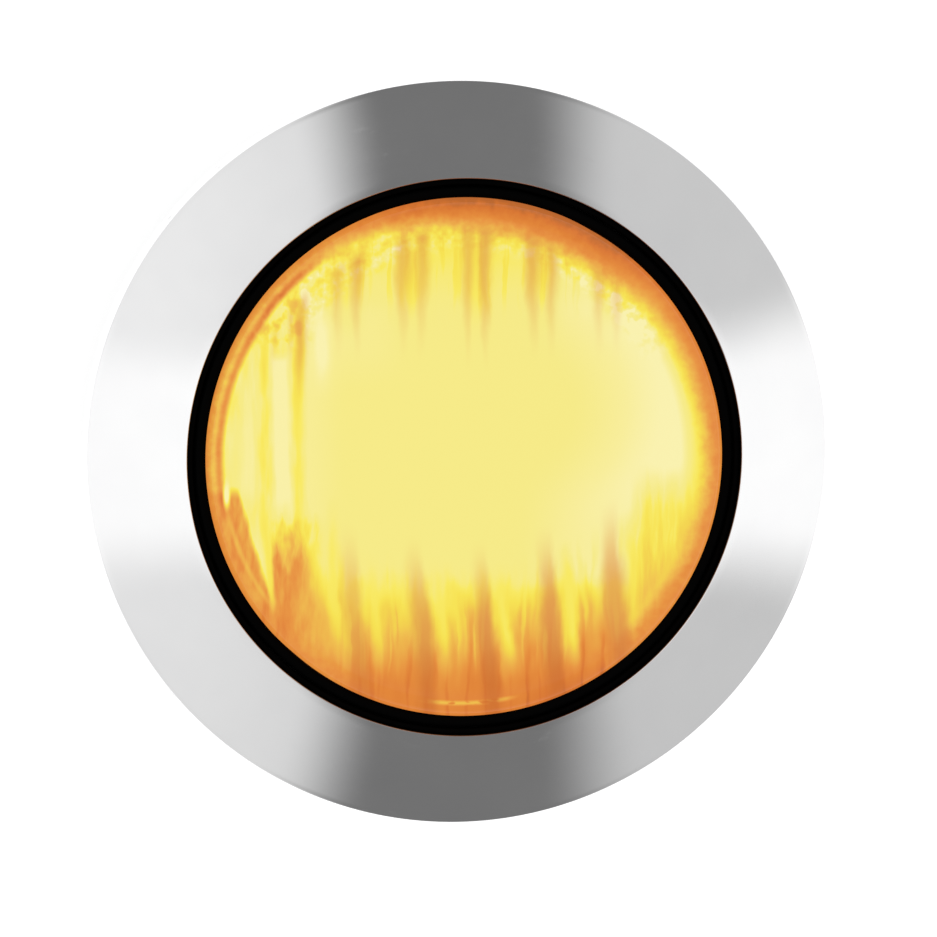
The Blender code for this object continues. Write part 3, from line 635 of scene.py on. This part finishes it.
def rim_band(field, x, y, radius):
    """The orange rim, wide and brown towards the top and the upper right."""
    fine = noise(x * 1.2, y * 1.2, 2, 2.0) - 0.5
    upper_right = smooth(0.55, 1.0, (0.64 * x + 0.77 * y) / radius)
    top = smooth(0.68, 1.0, (0.28 * x + 0.96 * y) / radius)
    left_side = smooth(0.5, 0.95, x / radius * -1.0)
    onset = 22.4 - 0.8 * upper_right - 1.0 * top + 0.35 * fine + 0.3 * left_side
    share = smooth(onset - 0.4, onset + 1.8, radius)
    corner = upper_right * (1.0 - smooth(0.80, 0.97, (0.28 * x + 0.96 * y) / radius))
    fall = 0.26 * most(upper_right, top) + 0.12 * corner
    rim = 0.26 - 0.02 * top + 0.28 * corner - fall * smooth(22.0, 24.4, radius)
    rim = rim + 0.12 * left_side * (1.0 - smooth(23.3, 24.3, radius)) + 0.10 * fine
    return blend(field, most(least(field, rim), 0.0), share)


def moulded_step(field, x, y, radius):
    """A thin line where the dome meets the side: shaded upper left, bright below."""
    shade = smooth(0.35, 0.75, (0.25 * y - 0.97 * x) / radius)
    shade = shade * smooth(-7.0, -1.0, y) * (1.0 - smooth(16.5, 20.0, y))
    field = field - 0.48 * near(radius, 23.0, 0.6) * shade
    broken = smooth(0.25, 0.60, noise(x * 0.9, y * 2.0, 31, 2.0))
    glint = near(radius, 23.2, 0.36) * window(-3.4, 4.4, 1.2, x) * smooth(0.0, -10.0, y)
    field = blend(field, 0.70, glint * broken * 0.8)
    glint = near(radius, 22.75, 0.40) * window(-13.5, -5.0, 1.5, y)
    field = blend(field, 0.70, glint * smooth(0.2, 0.5, x / radius * -1.0) * 0.5)
    spot = 1.0 - smooth(0.3, 1.0, distance((x + 22.3) / 0.5, (y + 3.3) / 1.9))
    return blend(field, 1.0, spot)


def lit_amber():
    """Fluted amber plastic with a bulb behind it. The glow leans with the depth of the lens."""
    material, tree, shader = new_material("lit_amber")
    x, y, z = object_place(tree)
    height = z - GLOW_HEIGHT
    x = x + height * GLOW_LEAN_X
    y = y - height * GLOW_LEAN_Y
    radius = distance(x, y)
    bent_x = bent(x, y)
    field = main_glow(x, y, radius)
    field, lower_shade = lower_flutes(field, x, bent_x, y)
    field, upper_shade = upper_flutes(field, x, bent_x, y, radius)
    field = left_bars(field, x, y)
    field = left_foot(field, bent_x, y)
    field = right_foot(field, x, bent_x, y, radius)
    field = rim_band(field, x, y, radius)
    field = moulded_step(field, x, y, radius)
    stops = [(place, linear(*colour)) for place, colour in GLOW_COLOURS]
    streak_stops = [(0.0, linear(222, 142, 72)), (1.0, linear(208, 112, 48))]
    streaks = colour_ramp(tree, smooth(-14.0, -22.0, y), streak_stops)
    glow = mixed_colour(tree, most(lower_shade, upper_shade), colour_ramp(tree, field, stops), streaks)
    tree.links.new(glow, shader.inputs["Emission Color"])
    shader.inputs["Emission Strength"].default_value = 0.90
    # The base colour follows the glow field too, so the glow's light and its shaded rim are painted into it.
    base = colour_ramp(tree, field, [(0.0, (0.06, 0.018, 0.003)), (1.0, (0.10, 0.07, 0.02))])
    tree.links.new(base, shader.inputs["Base Color"])
    wipes = smooth(0.72, 0.95, noise(x * 0.25 + y * 0.1, y * 3.0 - x * 1.2, 12, 3.0))
    plug(tree, 0.07 + 0.10 * wipes, shader.inputs["Roughness"])
    shader.inputs["Specular IOR Level"].default_value = 0.15
    return material


def pale_floor():
    """Pale matt floor that glows faintly round the object, so that it looks white from above."""
    material, tree, shader = new_material("pale_floor")
    x, y = object_place(tree)[:2]
    mottle = noise(x * 0.01, y * 0.01, 13, 2.0)
    tint = colour_ramp(tree, mottle, [(0.0, (0.74, 0.74, 0.74)), (1.0, (0.77, 0.77, 0.77))])
    tree.links.new(tint, shader.inputs["Base Color"])
    shader.inputs["Roughness"].default_value = 0.9
    shader.inputs["Specular IOR Level"].default_value = 0.0
    shader.inputs["Emission Color"].default_value = (1.0, 1.0, 1.0, 1.0)
    plug(tree, 0.60 * smooth(190.0, 60.0, root(x * x + y * y + 0.01)), shader.inputs["Emission Strength"])
    return material


# ---- Mesh helpers ------------------------------------------------------------------------------


def add_piece(name, mesh, material, sharp_degrees=SHARP_DEGREES):
    """A scene object from a bmesh, shaded smooth up to the given angle between faces."""
    bmesh.ops.remove_doubles(mesh, verts=mesh.verts[:], dist=MERGE_DISTANCE)
    bmesh.ops.recalc_face_normals(mesh, faces=mesh.faces[:])
    data = bpy.data.meshes.new(name)
    mesh.to_mesh(data)
    mesh.free()
    data.shade_smooth()
    data.set_sharp_from_angle(angle=math.radians(sharp_degrees))
    data.materials.append(material)
    piece = bpy.data.objects.new(name, data)
    bpy.context.scene.collection.objects.link(piece)
    return piece


def spread(start, end, steps):
    """Evenly spaced values from start to end, both included."""
    return [start + (end - start) * step / steps for step in range(steps + 1)]


def arc_points(centre, radius, start, end, count):
    """Points (r, z) on an arc, in degrees from the outward direction towards +Z."""
    points = []
    for degrees in spread(start, end, count - 1):
        turn = math.radians(degrees)
        points.append((centre[0] + radius * math.cos(turn), centre[1] + radius * math.sin(turn)))
    return points


def rounded(outline, radius, steps=4):
    """The outline with each marked corner (r, z, True) rounded."""
    points = []
    count = len(outline)
    for index, corner in enumerate(outline):
        here = Vector(corner[:2])
        if len(corner) < 3:
            points.append(tuple(here))
            continue
        before = Vector(outline[index - 1][:2]) - here
        after = Vector(outline[(index + 1) % count][:2]) - here
        size = min(radius, before.length * 0.45, after.length * 0.45)
        start = here + before.normalized() * size
        end = here + after.normalized() * size
        for step in range(steps + 1):
            share = step / steps
            bend = start * (1 - share) ** 2 + here * 2 * share * (1 - share) + end * share**2
            points.append(tuple(bend))
    return points


def turned_mesh(outline, closed=True, steps=TURN_STEPS):
    """The outline (r, z) turned about the Z axis. A closed outline makes a ring."""
    mesh = bmesh.new()
    verts = [mesh.verts.new((radius, 0.0, height)) for radius, height in outline]
    pairs = list(zip(verts, verts[1:]))
    if closed:
        pairs.append((verts[-1], verts[0]))
    edges = [mesh.edges.new(pair) for pair in pairs]
    bmesh.ops.spin(
        mesh, geom=verts + edges, axis=(0, 0, 1), cent=(0, 0, 0), angle=math.tau, steps=steps, use_merge=True
    )
    return mesh


# ---- Trim ring ---------------------------------------------------------------------------------


def ring_outline():
    """The pressed sheet: return at the hole, domed face, tight outer corner, upright skirt."""
    outer = RING_HIGH.x
    crest = RING_HIGH.z
    foot = RING_LOW.z
    anchor = RING_HOLE_RADIUS + RING_EDGE_ROLL
    centre_z = crest - math.sqrt(RING_DOME_RADIUS**2 - anchor**2)
    face_end = outer - RING_EDGE_ROLL
    skirt_inner = outer - RING_SHEET
    return_outer = RING_HOLE_RADIUS + RING_SHEET

    def dome(radius, size):
        return centre_z + math.sqrt(size**2 - radius**2)

    slope_in = math.degrees(math.asin(anchor / RING_DOME_RADIUS))
    slope_out = math.degrees(math.asin(face_end / RING_DOME_RADIUS))
    roll_in = (anchor, crest - RING_EDGE_ROLL)
    roll_out = (face_end, dome(face_end, RING_DOME_RADIUS) - RING_EDGE_ROLL)
    outline = [(RING_HOLE_RADIUS, crest - RING_RETURN_DEPTH)]
    outline += arc_points(roll_in, RING_EDGE_ROLL, 180, 90 + slope_in * 0.5, ROLL_POINTS)
    outline += [(r, dome(r, RING_DOME_RADIUS)) for r in spread(anchor, face_end, FACE_STEPS)[1:]]
    outline += arc_points(roll_out, RING_EDGE_ROLL, 90 - slope_out, 0, ROLL_POINTS)[1:]
    skirt_top = outline[-1][1]
    outline += [(outer, z) for z in spread(skirt_top, foot, SKIRT_STEPS)[1:]]
    outline += [(skirt_inner, z) for z in spread(foot, skirt_top, SKIRT_STEPS)[:-1]]
    under = RING_DOME_RADIUS - RING_SHEET
    outline += [(r, dome(r, under)) for r in spread(skirt_inner, return_outer, SKIRT_STEPS)]
    return outline + [(return_outer, crest - RING_RETURN_DEPTH)]


def press_dimples(mesh):
    """Dimples pushed into the skirt, evenly spaced, which grip the rubber flange."""
    middle_z = RING_LOW.z + DIMPLE_RISE
    skirt = RING_HIGH.x - RING_SHEET * 1.2
    spacing = math.tau / DIMPLE_COUNT
    for vert in mesh.verts:
        radius = math.hypot(vert.co.x, vert.co.y)
        if radius < skirt or vert.co.z > middle_z + 2 * DIMPLE_HALF_HEIGHT:
            continue
        turn = math.atan2(vert.co.y, vert.co.x)
        from_middle = (turn / spacing) % 1.0 - 0.5
        across = abs(from_middle) * spacing * radius / DIMPLE_HALF_WIDTH
        along = abs(vert.co.z - middle_z) / DIMPLE_HALF_HEIGHT
        reach = max(0.0, 1.0 - across**4) * max(0.0, 1.0 - along**2)
        push = DIMPLE_DEPTH * reach**0.7 / radius
        vert.co.x -= vert.co.x * push
        vert.co.y -= vert.co.y * push


def make_trim_ring(material):
    mesh = turned_mesh(ring_outline())
    press_dimples(mesh)
    piece = add_piece("trim_ring_sheet", mesh, material)
    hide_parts("trim_ring")
    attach(piece, "trim")


# ---- Grommet -----------------------------------------------------------------------------------


def make_grommet(material):
    """The rubber ring with rounded moulded edges and a parting line on its bead."""
    outer = GROMMET_HIGH.x
    lip_outer = RING_HOLE_RADIUS - LIP_CLEARANCE
    lip_top = GROMMET_HIGH.z
    rear = GROMMET_LOW.z
    bore = BODY_RADIUS + PIECE_GAP
    collar = RING_HIGH.z - RING_RETURN_DEPTH - PIECE_GAP
    seat = FLANGE_LOW - PIECE_GAP
    groove_foot = PANEL_FACE - PANEL_SHEET
    parting = BEAD_RADIUS - PARTING_STEP
    corners = [
        (LIP_INNER, lip_top, True),
        (lip_outer, lip_top, True),
        (lip_outer, collar),
        (COLLAR_RADIUS, collar, True),
        (FLANGE_SHOULDER_RADIUS, PANEL_FACE + FLANGE_SHOULDER_RISE, True),
        (outer - SLOPE_INSET, PANEL_FACE + SLOPE_FOOT_RISE, True),
        (outer, PANEL_FACE + FLANGE_EDGE_TOP_RISE, True),
        (outer, PANEL_FACE + FLANGE_EDGE_FOOT_RISE, True),
        (outer - FLANGE_CHAMFER, PANEL_FACE, True),
        (GROOVE_RADIUS, PANEL_FACE, True),
        (GROOVE_RADIUS, groove_foot, True),
        (BEAD_RADIUS - BEAD_EDGE, groove_foot, True),
        (BEAD_RADIUS, PANEL_FACE - PARTING_DROP),
        (parting, PANEL_FACE - PARTING_DROP - PARTING_STEP),
        (parting, PANEL_FACE - BEAD_FOOT_DROP, True),
        (TAIL_RADIUS, rear + TAIL_CHAMFER, True),
        (TAIL_RADIUS - TAIL_CHAMFER, rear, True),
        (bore, rear, True),
        (bore, seat),
        (LIP_INNER, seat),
    ]
    mesh = turned_mesh(rounded(corners, GROMMET_ROUNDING, 5))
    piece = add_piece("grommet_rubber", mesh, material, GROMMET_SHARP_DEGREES)
    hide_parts("grommet")
    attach(piece, "grommet")


# ---- Lens --------------------------------------------------------------------------------------


def lens_surface(radius, inset=0.0):
    """Height of the outer surface, or of one lying inset below it, out to where the side is upright."""
    top = LENS_HIGH.z
    sphere = (LENS_SHOULDER_RADIUS**2 + LENS_SHOULDER_DROP**2) / (2 * LENS_SHOULDER_DROP)
    if radius <= LENS_SHOULDER_RADIUS:
        return top - inset - sphere + math.sqrt(sphere**2 - radius**2)
    roll_radius = LENS_HIGH.x - inset - LENS_SHOULDER_RADIUS
    roll_height = LENS_EDGE_DROP - LENS_SHOULDER_DROP
    share = min(1.0, (radius - LENS_SHOULDER_RADIUS) / roll_radius)
    return top - inset - LENS_EDGE_DROP + roll_height * math.sqrt(1.0 - share**2)


def lens_profile():
    """From the axis over the dome and the rounded shoulder, down the upright side to the foot."""
    radii = spread(0.0, LENS_SHOULDER_RADIUS, LENS_DOME_STEPS)
    roll_radius = LENS_HIGH.x - LENS_SHOULDER_RADIUS
    for turn in spread(0.0, math.pi / 2, LENS_SHOULDER_STEPS)[1:]:
        radii.append(LENS_SHOULDER_RADIUS + roll_radius * math.sin(turn))
    points = [(radius, lens_surface(radius)) for radius in radii]
    side_top = points[-1][1]
    return points + [(LENS_HIGH.x, z) for z in spread(side_top, LENS_LOW.z, LENS_SIDE_STEPS)[1:]]


def flute_drop(x):
    """How far the fluted underside lies below the crown of its flute."""
    place = (x - FLUTE_OFFSET) / FLUTE_PITCH
    across = 2 * (place - math.floor(place)) - 1
    return FLUTE_DEPTH * (1.0 - across**2)


def flute_columns(edge):
    """Column places across the lens: a fixed number in each flute, so that ridges stay straight."""
    step = FLUTE_PITCH / COLUMNS_PER_FLUTE
    first = math.ceil((-edge * COLUMN_REACH - FLUTE_OFFSET) / step)
    last = math.floor((edge * COLUMN_REACH - FLUTE_OFFSET) / step)
    return [FLUTE_OFFSET + step * index for index in range(first, last + 1)]


def fluted_underside(mesh):
    """A round patch of quads with upright flutes. Returns its rim, in order."""
    edge = LENS_HIGH.x - LENS_WALL
    rows = FLUTE_ROWS

    def height(x, y):
        radius = min(math.hypot(x, y), edge)
        calm = min(1.0, (edge - radius) / FLUTE_FADE)
        return lens_surface(radius, LENS_WALL) - flute_drop(x) * calm

    left = mesh.verts.new((-edge, 0.0, height(edge, 0.0)))
    right = mesh.verts.new((edge, 0.0, height(edge, 0.0)))
    lines = []
    for x in flute_columns(edge):
        reach = math.sqrt(edge**2 - x**2)
        spots = [reach * math.sin(math.pi * (row / rows - 0.5)) for row in range(rows + 1)]
        lines.append([mesh.verts.new((x, y, height(x, y))) for y in spots])
    for one, two in zip(lines, lines[1:]):
        for row in range(rows):
            mesh.faces.new((one[row], two[row], two[row + 1], one[row + 1]))
    for row in range(rows):
        mesh.faces.new((left, lines[0][row + 1], lines[0][row]))
        mesh.faces.new((right, lines[-1][row], lines[-1][row + 1]))
    lower = [line[0] for line in lines]
    upper = [line[-1] for line in reversed(lines)]
    return [left, *lower, right, *upper]


def make_lens(material):
    """A smooth dome outside, upright flutes inside."""
    mesh = turned_mesh(lens_profile(), closed=False)
    bmesh.ops.remove_doubles(mesh, verts=mesh.verts[:], dist=MERGE_DISTANCE)
    foot_edges = [edge for edge in mesh.edges if edge.is_boundary]
    rim = fluted_underside(mesh)
    inner_foot = [mesh.verts.new((vert.co.x, vert.co.y, LENS_LOW.z)) for vert in rim]
    inner_edges = []
    for index, vert in enumerate(rim):
        after = (index + 1) % len(rim)
        mesh.faces.new((vert, rim[after], inner_foot[after], inner_foot[index]))
        inner_edges.append(mesh.edges.get((inner_foot[index], inner_foot[after])))
    bmesh.ops.bridge_loops(mesh, edges=foot_edges + inner_edges)
    piece = add_piece("lens_dome", mesh, material)
    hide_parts("lens")
    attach(piece, "lamp")


# ---- Housing -----------------------------------------------------------------------------------


def cup_mesh():
    """The round cup with its rim, flange and rear wall."""
    rim_inner = LENS_HIGH.x + RIM_GAP
    rim_top = HOUSING_HIGH.z
    outer = LAMP_RADIUS
    cavity = BODY_RADIUS - CUP_WALL
    flange_top = FLANGE_LOW + FLANGE_PLATE
    corners = [
        (0.0, FLOOR_Z),
        (cavity, FLOOR_Z, True),
        (cavity, flange_top, True),
        (rim_inner, flange_top),
        (rim_inner, rim_top, True),
        (outer, rim_top, True),
        (outer, FLANGE_LOW, True),
        (BODY_RADIUS, FLANGE_LOW),
        (BODY_RADIUS, REAR_Z + REAR_CHAMFER, True),
        (BODY_RADIUS - REAR_CHAMFER, REAR_Z, True),
        (0.0, REAR_Z),
    ]
    return turned_mesh(rounded(corners, HOUSING_ROUNDING), closed=False)


def oblong_mesh(outline):
    """A closed solid of upright oblong section, long in X, through (radius, z) levels from the foot up."""
    mesh = bmesh.new()
    loops = []
    for radius, height in outline:
        loop = []
        for side in (1, -1):
            for index in range(SOCKET_END_STEPS + 1):
                turn = math.pi * (index / SOCKET_END_STEPS - 0.5)
                place = (side * (SOCKET_HALF_SPAN + radius * math.cos(turn)), side * radius * math.sin(turn))
                loop.append(mesh.verts.new((*place, height)))
        loops.append(loop)
    for one, two in zip(loops, loops[1:]):
        for index in range(len(one)):
            after = (index + 1) % len(one)
            mesh.faces.new((one[index], one[after], two[after], two[index]))
    mesh.faces.new(loops[0][::-1])
    mesh.faces.new(loops[-1])
    return mesh


def web_mesh(side):
    """A thin web between the socket and the edge of the rear wall, with its edges rounded."""
    mesh = bmesh.new()
    near_y = SOCKET_RADIUS - WEB_RUN_IN
    far_y = BODY_RADIUS - WEB_END_INSET
    profile = [
        (near_y, JOIN_Z),
        (near_y, REAR_Z - WEB_DROP),
        (far_y, REAR_Z - WEB_TIP_DROP),
        (far_y, JOIN_Z),
    ]
    face = mesh.faces.new([mesh.verts.new((-WEB_HALF_WIDTH, side * y, z)) for y, z in profile])
    pulled = bmesh.ops.extrude_face_region(mesh, geom=[face])
    far = [item for item in pulled["geom"] if isinstance(item, bmesh.types.BMVert)]
    bmesh.ops.translate(mesh, verts=far, vec=(2 * WEB_HALF_WIDTH, 0, 0))
    bmesh.ops.bevel(
        mesh, geom=mesh.edges[:], offset=WEB_ROUNDING, segments=3, profile=0.5, affect="EDGES"
    )
    return mesh


def keyway_mesh():
    """The block that cuts the keyway into the wall of the socket's recess."""
    recess = SOCKET_RADIUS - SOCKET_WALL
    mesh = bmesh.new()
    size = Vector((2 * KEYWAY_HALF_WIDTH, OVERLAP + KEYWAY_DEPTH, SOCKET_DEPTH + OVERLAP))
    middle = Vector((0.0, recess + (KEYWAY_DEPTH - OVERLAP) / 2, (SOCKET_DEPTH - OVERLAP) / 2))
    bmesh.ops.create_cube(mesh, size=1.0, matrix=Matrix.Translation(middle) @ Matrix.Diagonal((*size, 1.0)))
    return mesh


def pin_hole_mesh(name):
    """The hole round one terminal pin, with the wider pocket for its seal."""
    pin_low, pin_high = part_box(f"terminal_pin_{name}")
    seal_low, seal_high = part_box(f"terminal_seal_{name}")
    hole = (pin_high.x - pin_low.x) / 2 + PIECE_GAP
    pocket = (seal_high.x - seal_low.x) / 2 + PIECE_GAP
    pocket_z = seal_low.z - PIECE_GAP
    outline = [
        (0.0, FLOOR_Z + OVERLAP),
        (pocket, FLOOR_Z + OVERLAP),
        (pocket, pocket_z),
        (hole, pocket_z),
        (hole, SOCKET_DEPTH - OVERLAP),
        (0.0, SOCKET_DEPTH - OVERLAP),
    ]
    mesh = turned_mesh(outline, closed=False, steps=HOLE_STEPS)
    bmesh.ops.translate(mesh, verts=mesh.verts[:], vec=((pin_low.x + pin_high.x) / 2, 0, 0))
    return mesh


def combine(piece, other, operation):
    """Joins the other mesh to the piece or cuts it away, and keeps the result as the piece's mesh."""
    tool = add_piece("housing_tool", other, piece.data.materials[0])
    modifier = piece.modifiers.new("combine", "BOOLEAN")
    modifier.operation = operation
    modifier.object = tool
    graph = bpy.context.evaluated_depsgraph_get()
    data = bpy.data.meshes.new_from_object(piece.evaluated_get(graph), depsgraph=graph)
    piece.modifiers.clear()
    piece.data = data
    bpy.data.objects.remove(tool)


def drop_doubled_faces(piece):
    """Removes faces that lie back to back, which a cut along a shared plane can leave."""
    mesh = bmesh.new()
    mesh.from_mesh(piece.data)
    bmesh.ops.remove_doubles(mesh, verts=mesh.verts[:], dist=MERGE_DISTANCE)
    alike = {}
    for face in mesh.faces:
        corners = frozenset(vert.index for vert in face.verts)
        alike.setdefault(corners, []).append(face)
    doubled = [face for faces in alike.values() if len(faces) > 1 for face in faces]
    bmesh.ops.delete(mesh, geom=doubled, context="FACES_ONLY")
    mesh.to_mesh(piece.data)
    mesh.free()


def make_housing(material):
    """One moulding: the cup, the oblong socket and two webs, with the recess, keyway and pin holes cut."""
    recess = SOCKET_RADIUS - SOCKET_WALL
    foot_centre = (SOCKET_RADIUS - SOCKET_EDGE, SOCKET_EDGE)
    mouth_centre = (recess + SOCKET_EDGE, SOCKET_EDGE)
    foot = arc_points(foot_centre, SOCKET_EDGE, -90, 0, SOCKET_EDGE_POINTS)
    mouth = arc_points(mouth_centre, SOCKET_EDGE, 270, 180, SOCKET_EDGE_POINTS)
    piece = add_piece("housing_cup", cup_mesh(), material)
    combine(piece, oblong_mesh(foot + [(SOCKET_RADIUS, JOIN_Z)]), "UNION")
    for side in (1, -1):
        combine(piece, web_mesh(side), "UNION")
    mouth_foot = [(recess + SOCKET_EDGE, -OVERLAP)]
    combine(piece, oblong_mesh(mouth_foot + mouth + [(recess, SOCKET_DEPTH)]), "DIFFERENCE")
    combine(piece, keyway_mesh(), "DIFFERENCE")
    for name in PIN_SIDES:
        combine(piece, pin_hole_mesh(name), "DIFFERENCE")
    drop_doubled_faces(piece)
    piece.data.shade_smooth()
    piece.data.set_sharp_from_angle(angle=math.radians(SHARP_DEGREES))
    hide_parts("lamp_housing")
    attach(piece, "lamp")


# ---- CAD nodes that stay -----------------------------------------------------------------------


def dress_nodes():
    """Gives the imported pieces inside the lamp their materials."""
    brass = formed_metal("brass", (0.52, 0.34, 0.12), (0.80, 0.60, 0.28), 0.22)
    nickel = formed_metal("nickel_wire", (0.42, 0.40, 0.37), (0.62, 0.60, 0.57), 0.28)
    seal = grey_rubber()
    glass = clear_glass()
    looks = {
        "lens_seal": seal,
        "reflector": bright_plating(),
        "shock_mount": seal,
        "bulb_glass": glass,
        "bulb_stem": glass,
        "bulb_cap": brass,
        "cap_insulator": black_glass(),
        "cap_contact": formed_metal("solder", (0.40, 0.40, 0.42), (0.66, 0.66, 0.68), 0.30),
        "filament": formed_metal("tungsten", (0.30, 0.28, 0.26), (0.50, 0.47, 0.44), 0.35),
        "filament_post_hot": nickel,
        "filament_post_ground": nickel,
        "hot_strap": brass,
        "ground_strap": brass,
        "terminal_pin_hot": brass,
        "terminal_pin_ground": brass,
        "terminal_seal_hot": seal,
        "terminal_seal_ground": seal,
    }
    for name, material in looks.items():
        node = bpy.data.objects[name]
        node.data.materials.clear()
        node.data.materials.append(material)


# ---- Stage, light and camera -------------------------------------------------------------------


def make_floor():
    """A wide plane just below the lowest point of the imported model."""
    mesh = bmesh.new()
    bmesh.ops.create_grid(mesh, x_segments=8, y_segments=8, size=FLOOR_HALF_WIDTH)
    for vert in mesh.verts:
        vert.co.z = cad_box[0][2] - FLOOR_DROP
    floor_plane = add_piece("pale_floor", mesh, pale_floor())


def studio_world():
    """A soft studio: white cards left and right, grey flags front and back, pale walls between.

    x and y are the direction's own, from -1 to 1, and each edge is where a soft step begins and ends.
    """
    world = bpy.data.worlds.new("studio")
    bpy.context.scene.world = world
    world.use_nodes = True
    tree = world.node_tree
    coords = tree.nodes.new("ShaderNodeTexCoord")
    split = tree.nodes.new("ShaderNodeSeparateXYZ")
    tree.links.new(coords.outputs["Generated"], split.inputs[0])
    x = Number(tree, split.outputs["X"]) - STUDIO_MIDDLE_X
    y = Number(tree, split.outputs["Y"]) - STUDIO_MIDDLE_Y
    to_right = smooth(-0.15, 0.15, x)
    upper = 0.79 - 0.163 * to_right
    lower = 0.724 - 0.125 * to_right
    wall = blend(lower, upper, smooth(-0.3, 0.3, y))
    wall = wall * (1.0 + 0.16 * smooth(-0.30, -1.0, x))
    flag = 1.0 - smooth(*FLAG_EDGE, absolute(x))
    card = 1.0 - smooth(*CARD_EDGE, absolute(y))
    level = blend(wall, FLAG_LEVEL, flag * smooth(*OVERHEAD_EDGE, absolute(y)))
    level = blend(level, CARD_LEVEL, card * smooth(*OVERHEAD_EDGE, absolute(x)))
    path = tree.nodes.new("ShaderNodeLightPath")
    level = blend(level, BACKDROP_LEVEL, Number(tree, path.outputs["Is Camera Ray"]))
    background = tree.nodes["Background"]
    background.inputs["Color"].default_value = (1.0, 1.0, 1.0, 1.0)
    plug(tree, level, background.inputs["Strength"])


def make_top_light():
    """A wide soft light straight above, which shows in no reflection."""
    light = bpy.data.lights.new("top_light", "AREA")
    light.shape = "DISK"
    light.size = TOP_LIGHT_SIZE
    light.energy = TOP_LIGHT_WATTS
    fitting = bpy.data.objects.new("top_light", light)
    fitting.location = (0.0, 0.0, TOP_LIGHT_HEIGHT)
    fitting.visible_glossy = False
    bpy.context.scene.collection.objects.link(fitting)


def make_camera():
    """Almost straight above, leaning a little towards the upper left, a long way off."""
    tilt = math.radians(CAMERA_TILT_DEGREES)
    lean = Vector(CAMERA_LEAN).normalized()
    back = lean * math.sin(tilt) + Vector((0, 0, math.cos(tilt)))
    right = Vector((0, 1, 0)).cross(back).normalized()
    up = back.cross(right).normalized()
    middle = Vector((0, 0, (RING_LOW.z + RING_HIGH.z) / 2))
    aim = middle + right * VIEW_RIGHT - up * VIEW_DOWN
    data = bpy.data.cameras.new("camera")
    data.sensor_width = SENSOR_WIDTH
    data.lens = SENSOR_WIDTH * CAMERA_DISTANCE / VIEW_WIDTH
    data.clip_start = 0.01
    camera = bpy.data.objects.new("camera", data)
    turn = Matrix((right, up, back)).transposed()
    camera.matrix_world = Matrix.Translation(aim + back * CAMERA_DISTANCE) @ turn.to_4x4()
    bpy.context.scene.collection.objects.link(camera)
    bpy.context.scene.camera = camera


make_camera()
make_floor()
studio_world()
make_top_light()
bpy.context.scene.view_settings.view_transform = "Standard"

make_trim_ring(polished_steel())
make_grommet(black_rubber())
make_lens(lit_amber())
make_housing(black_plastic())
dress_nodes()
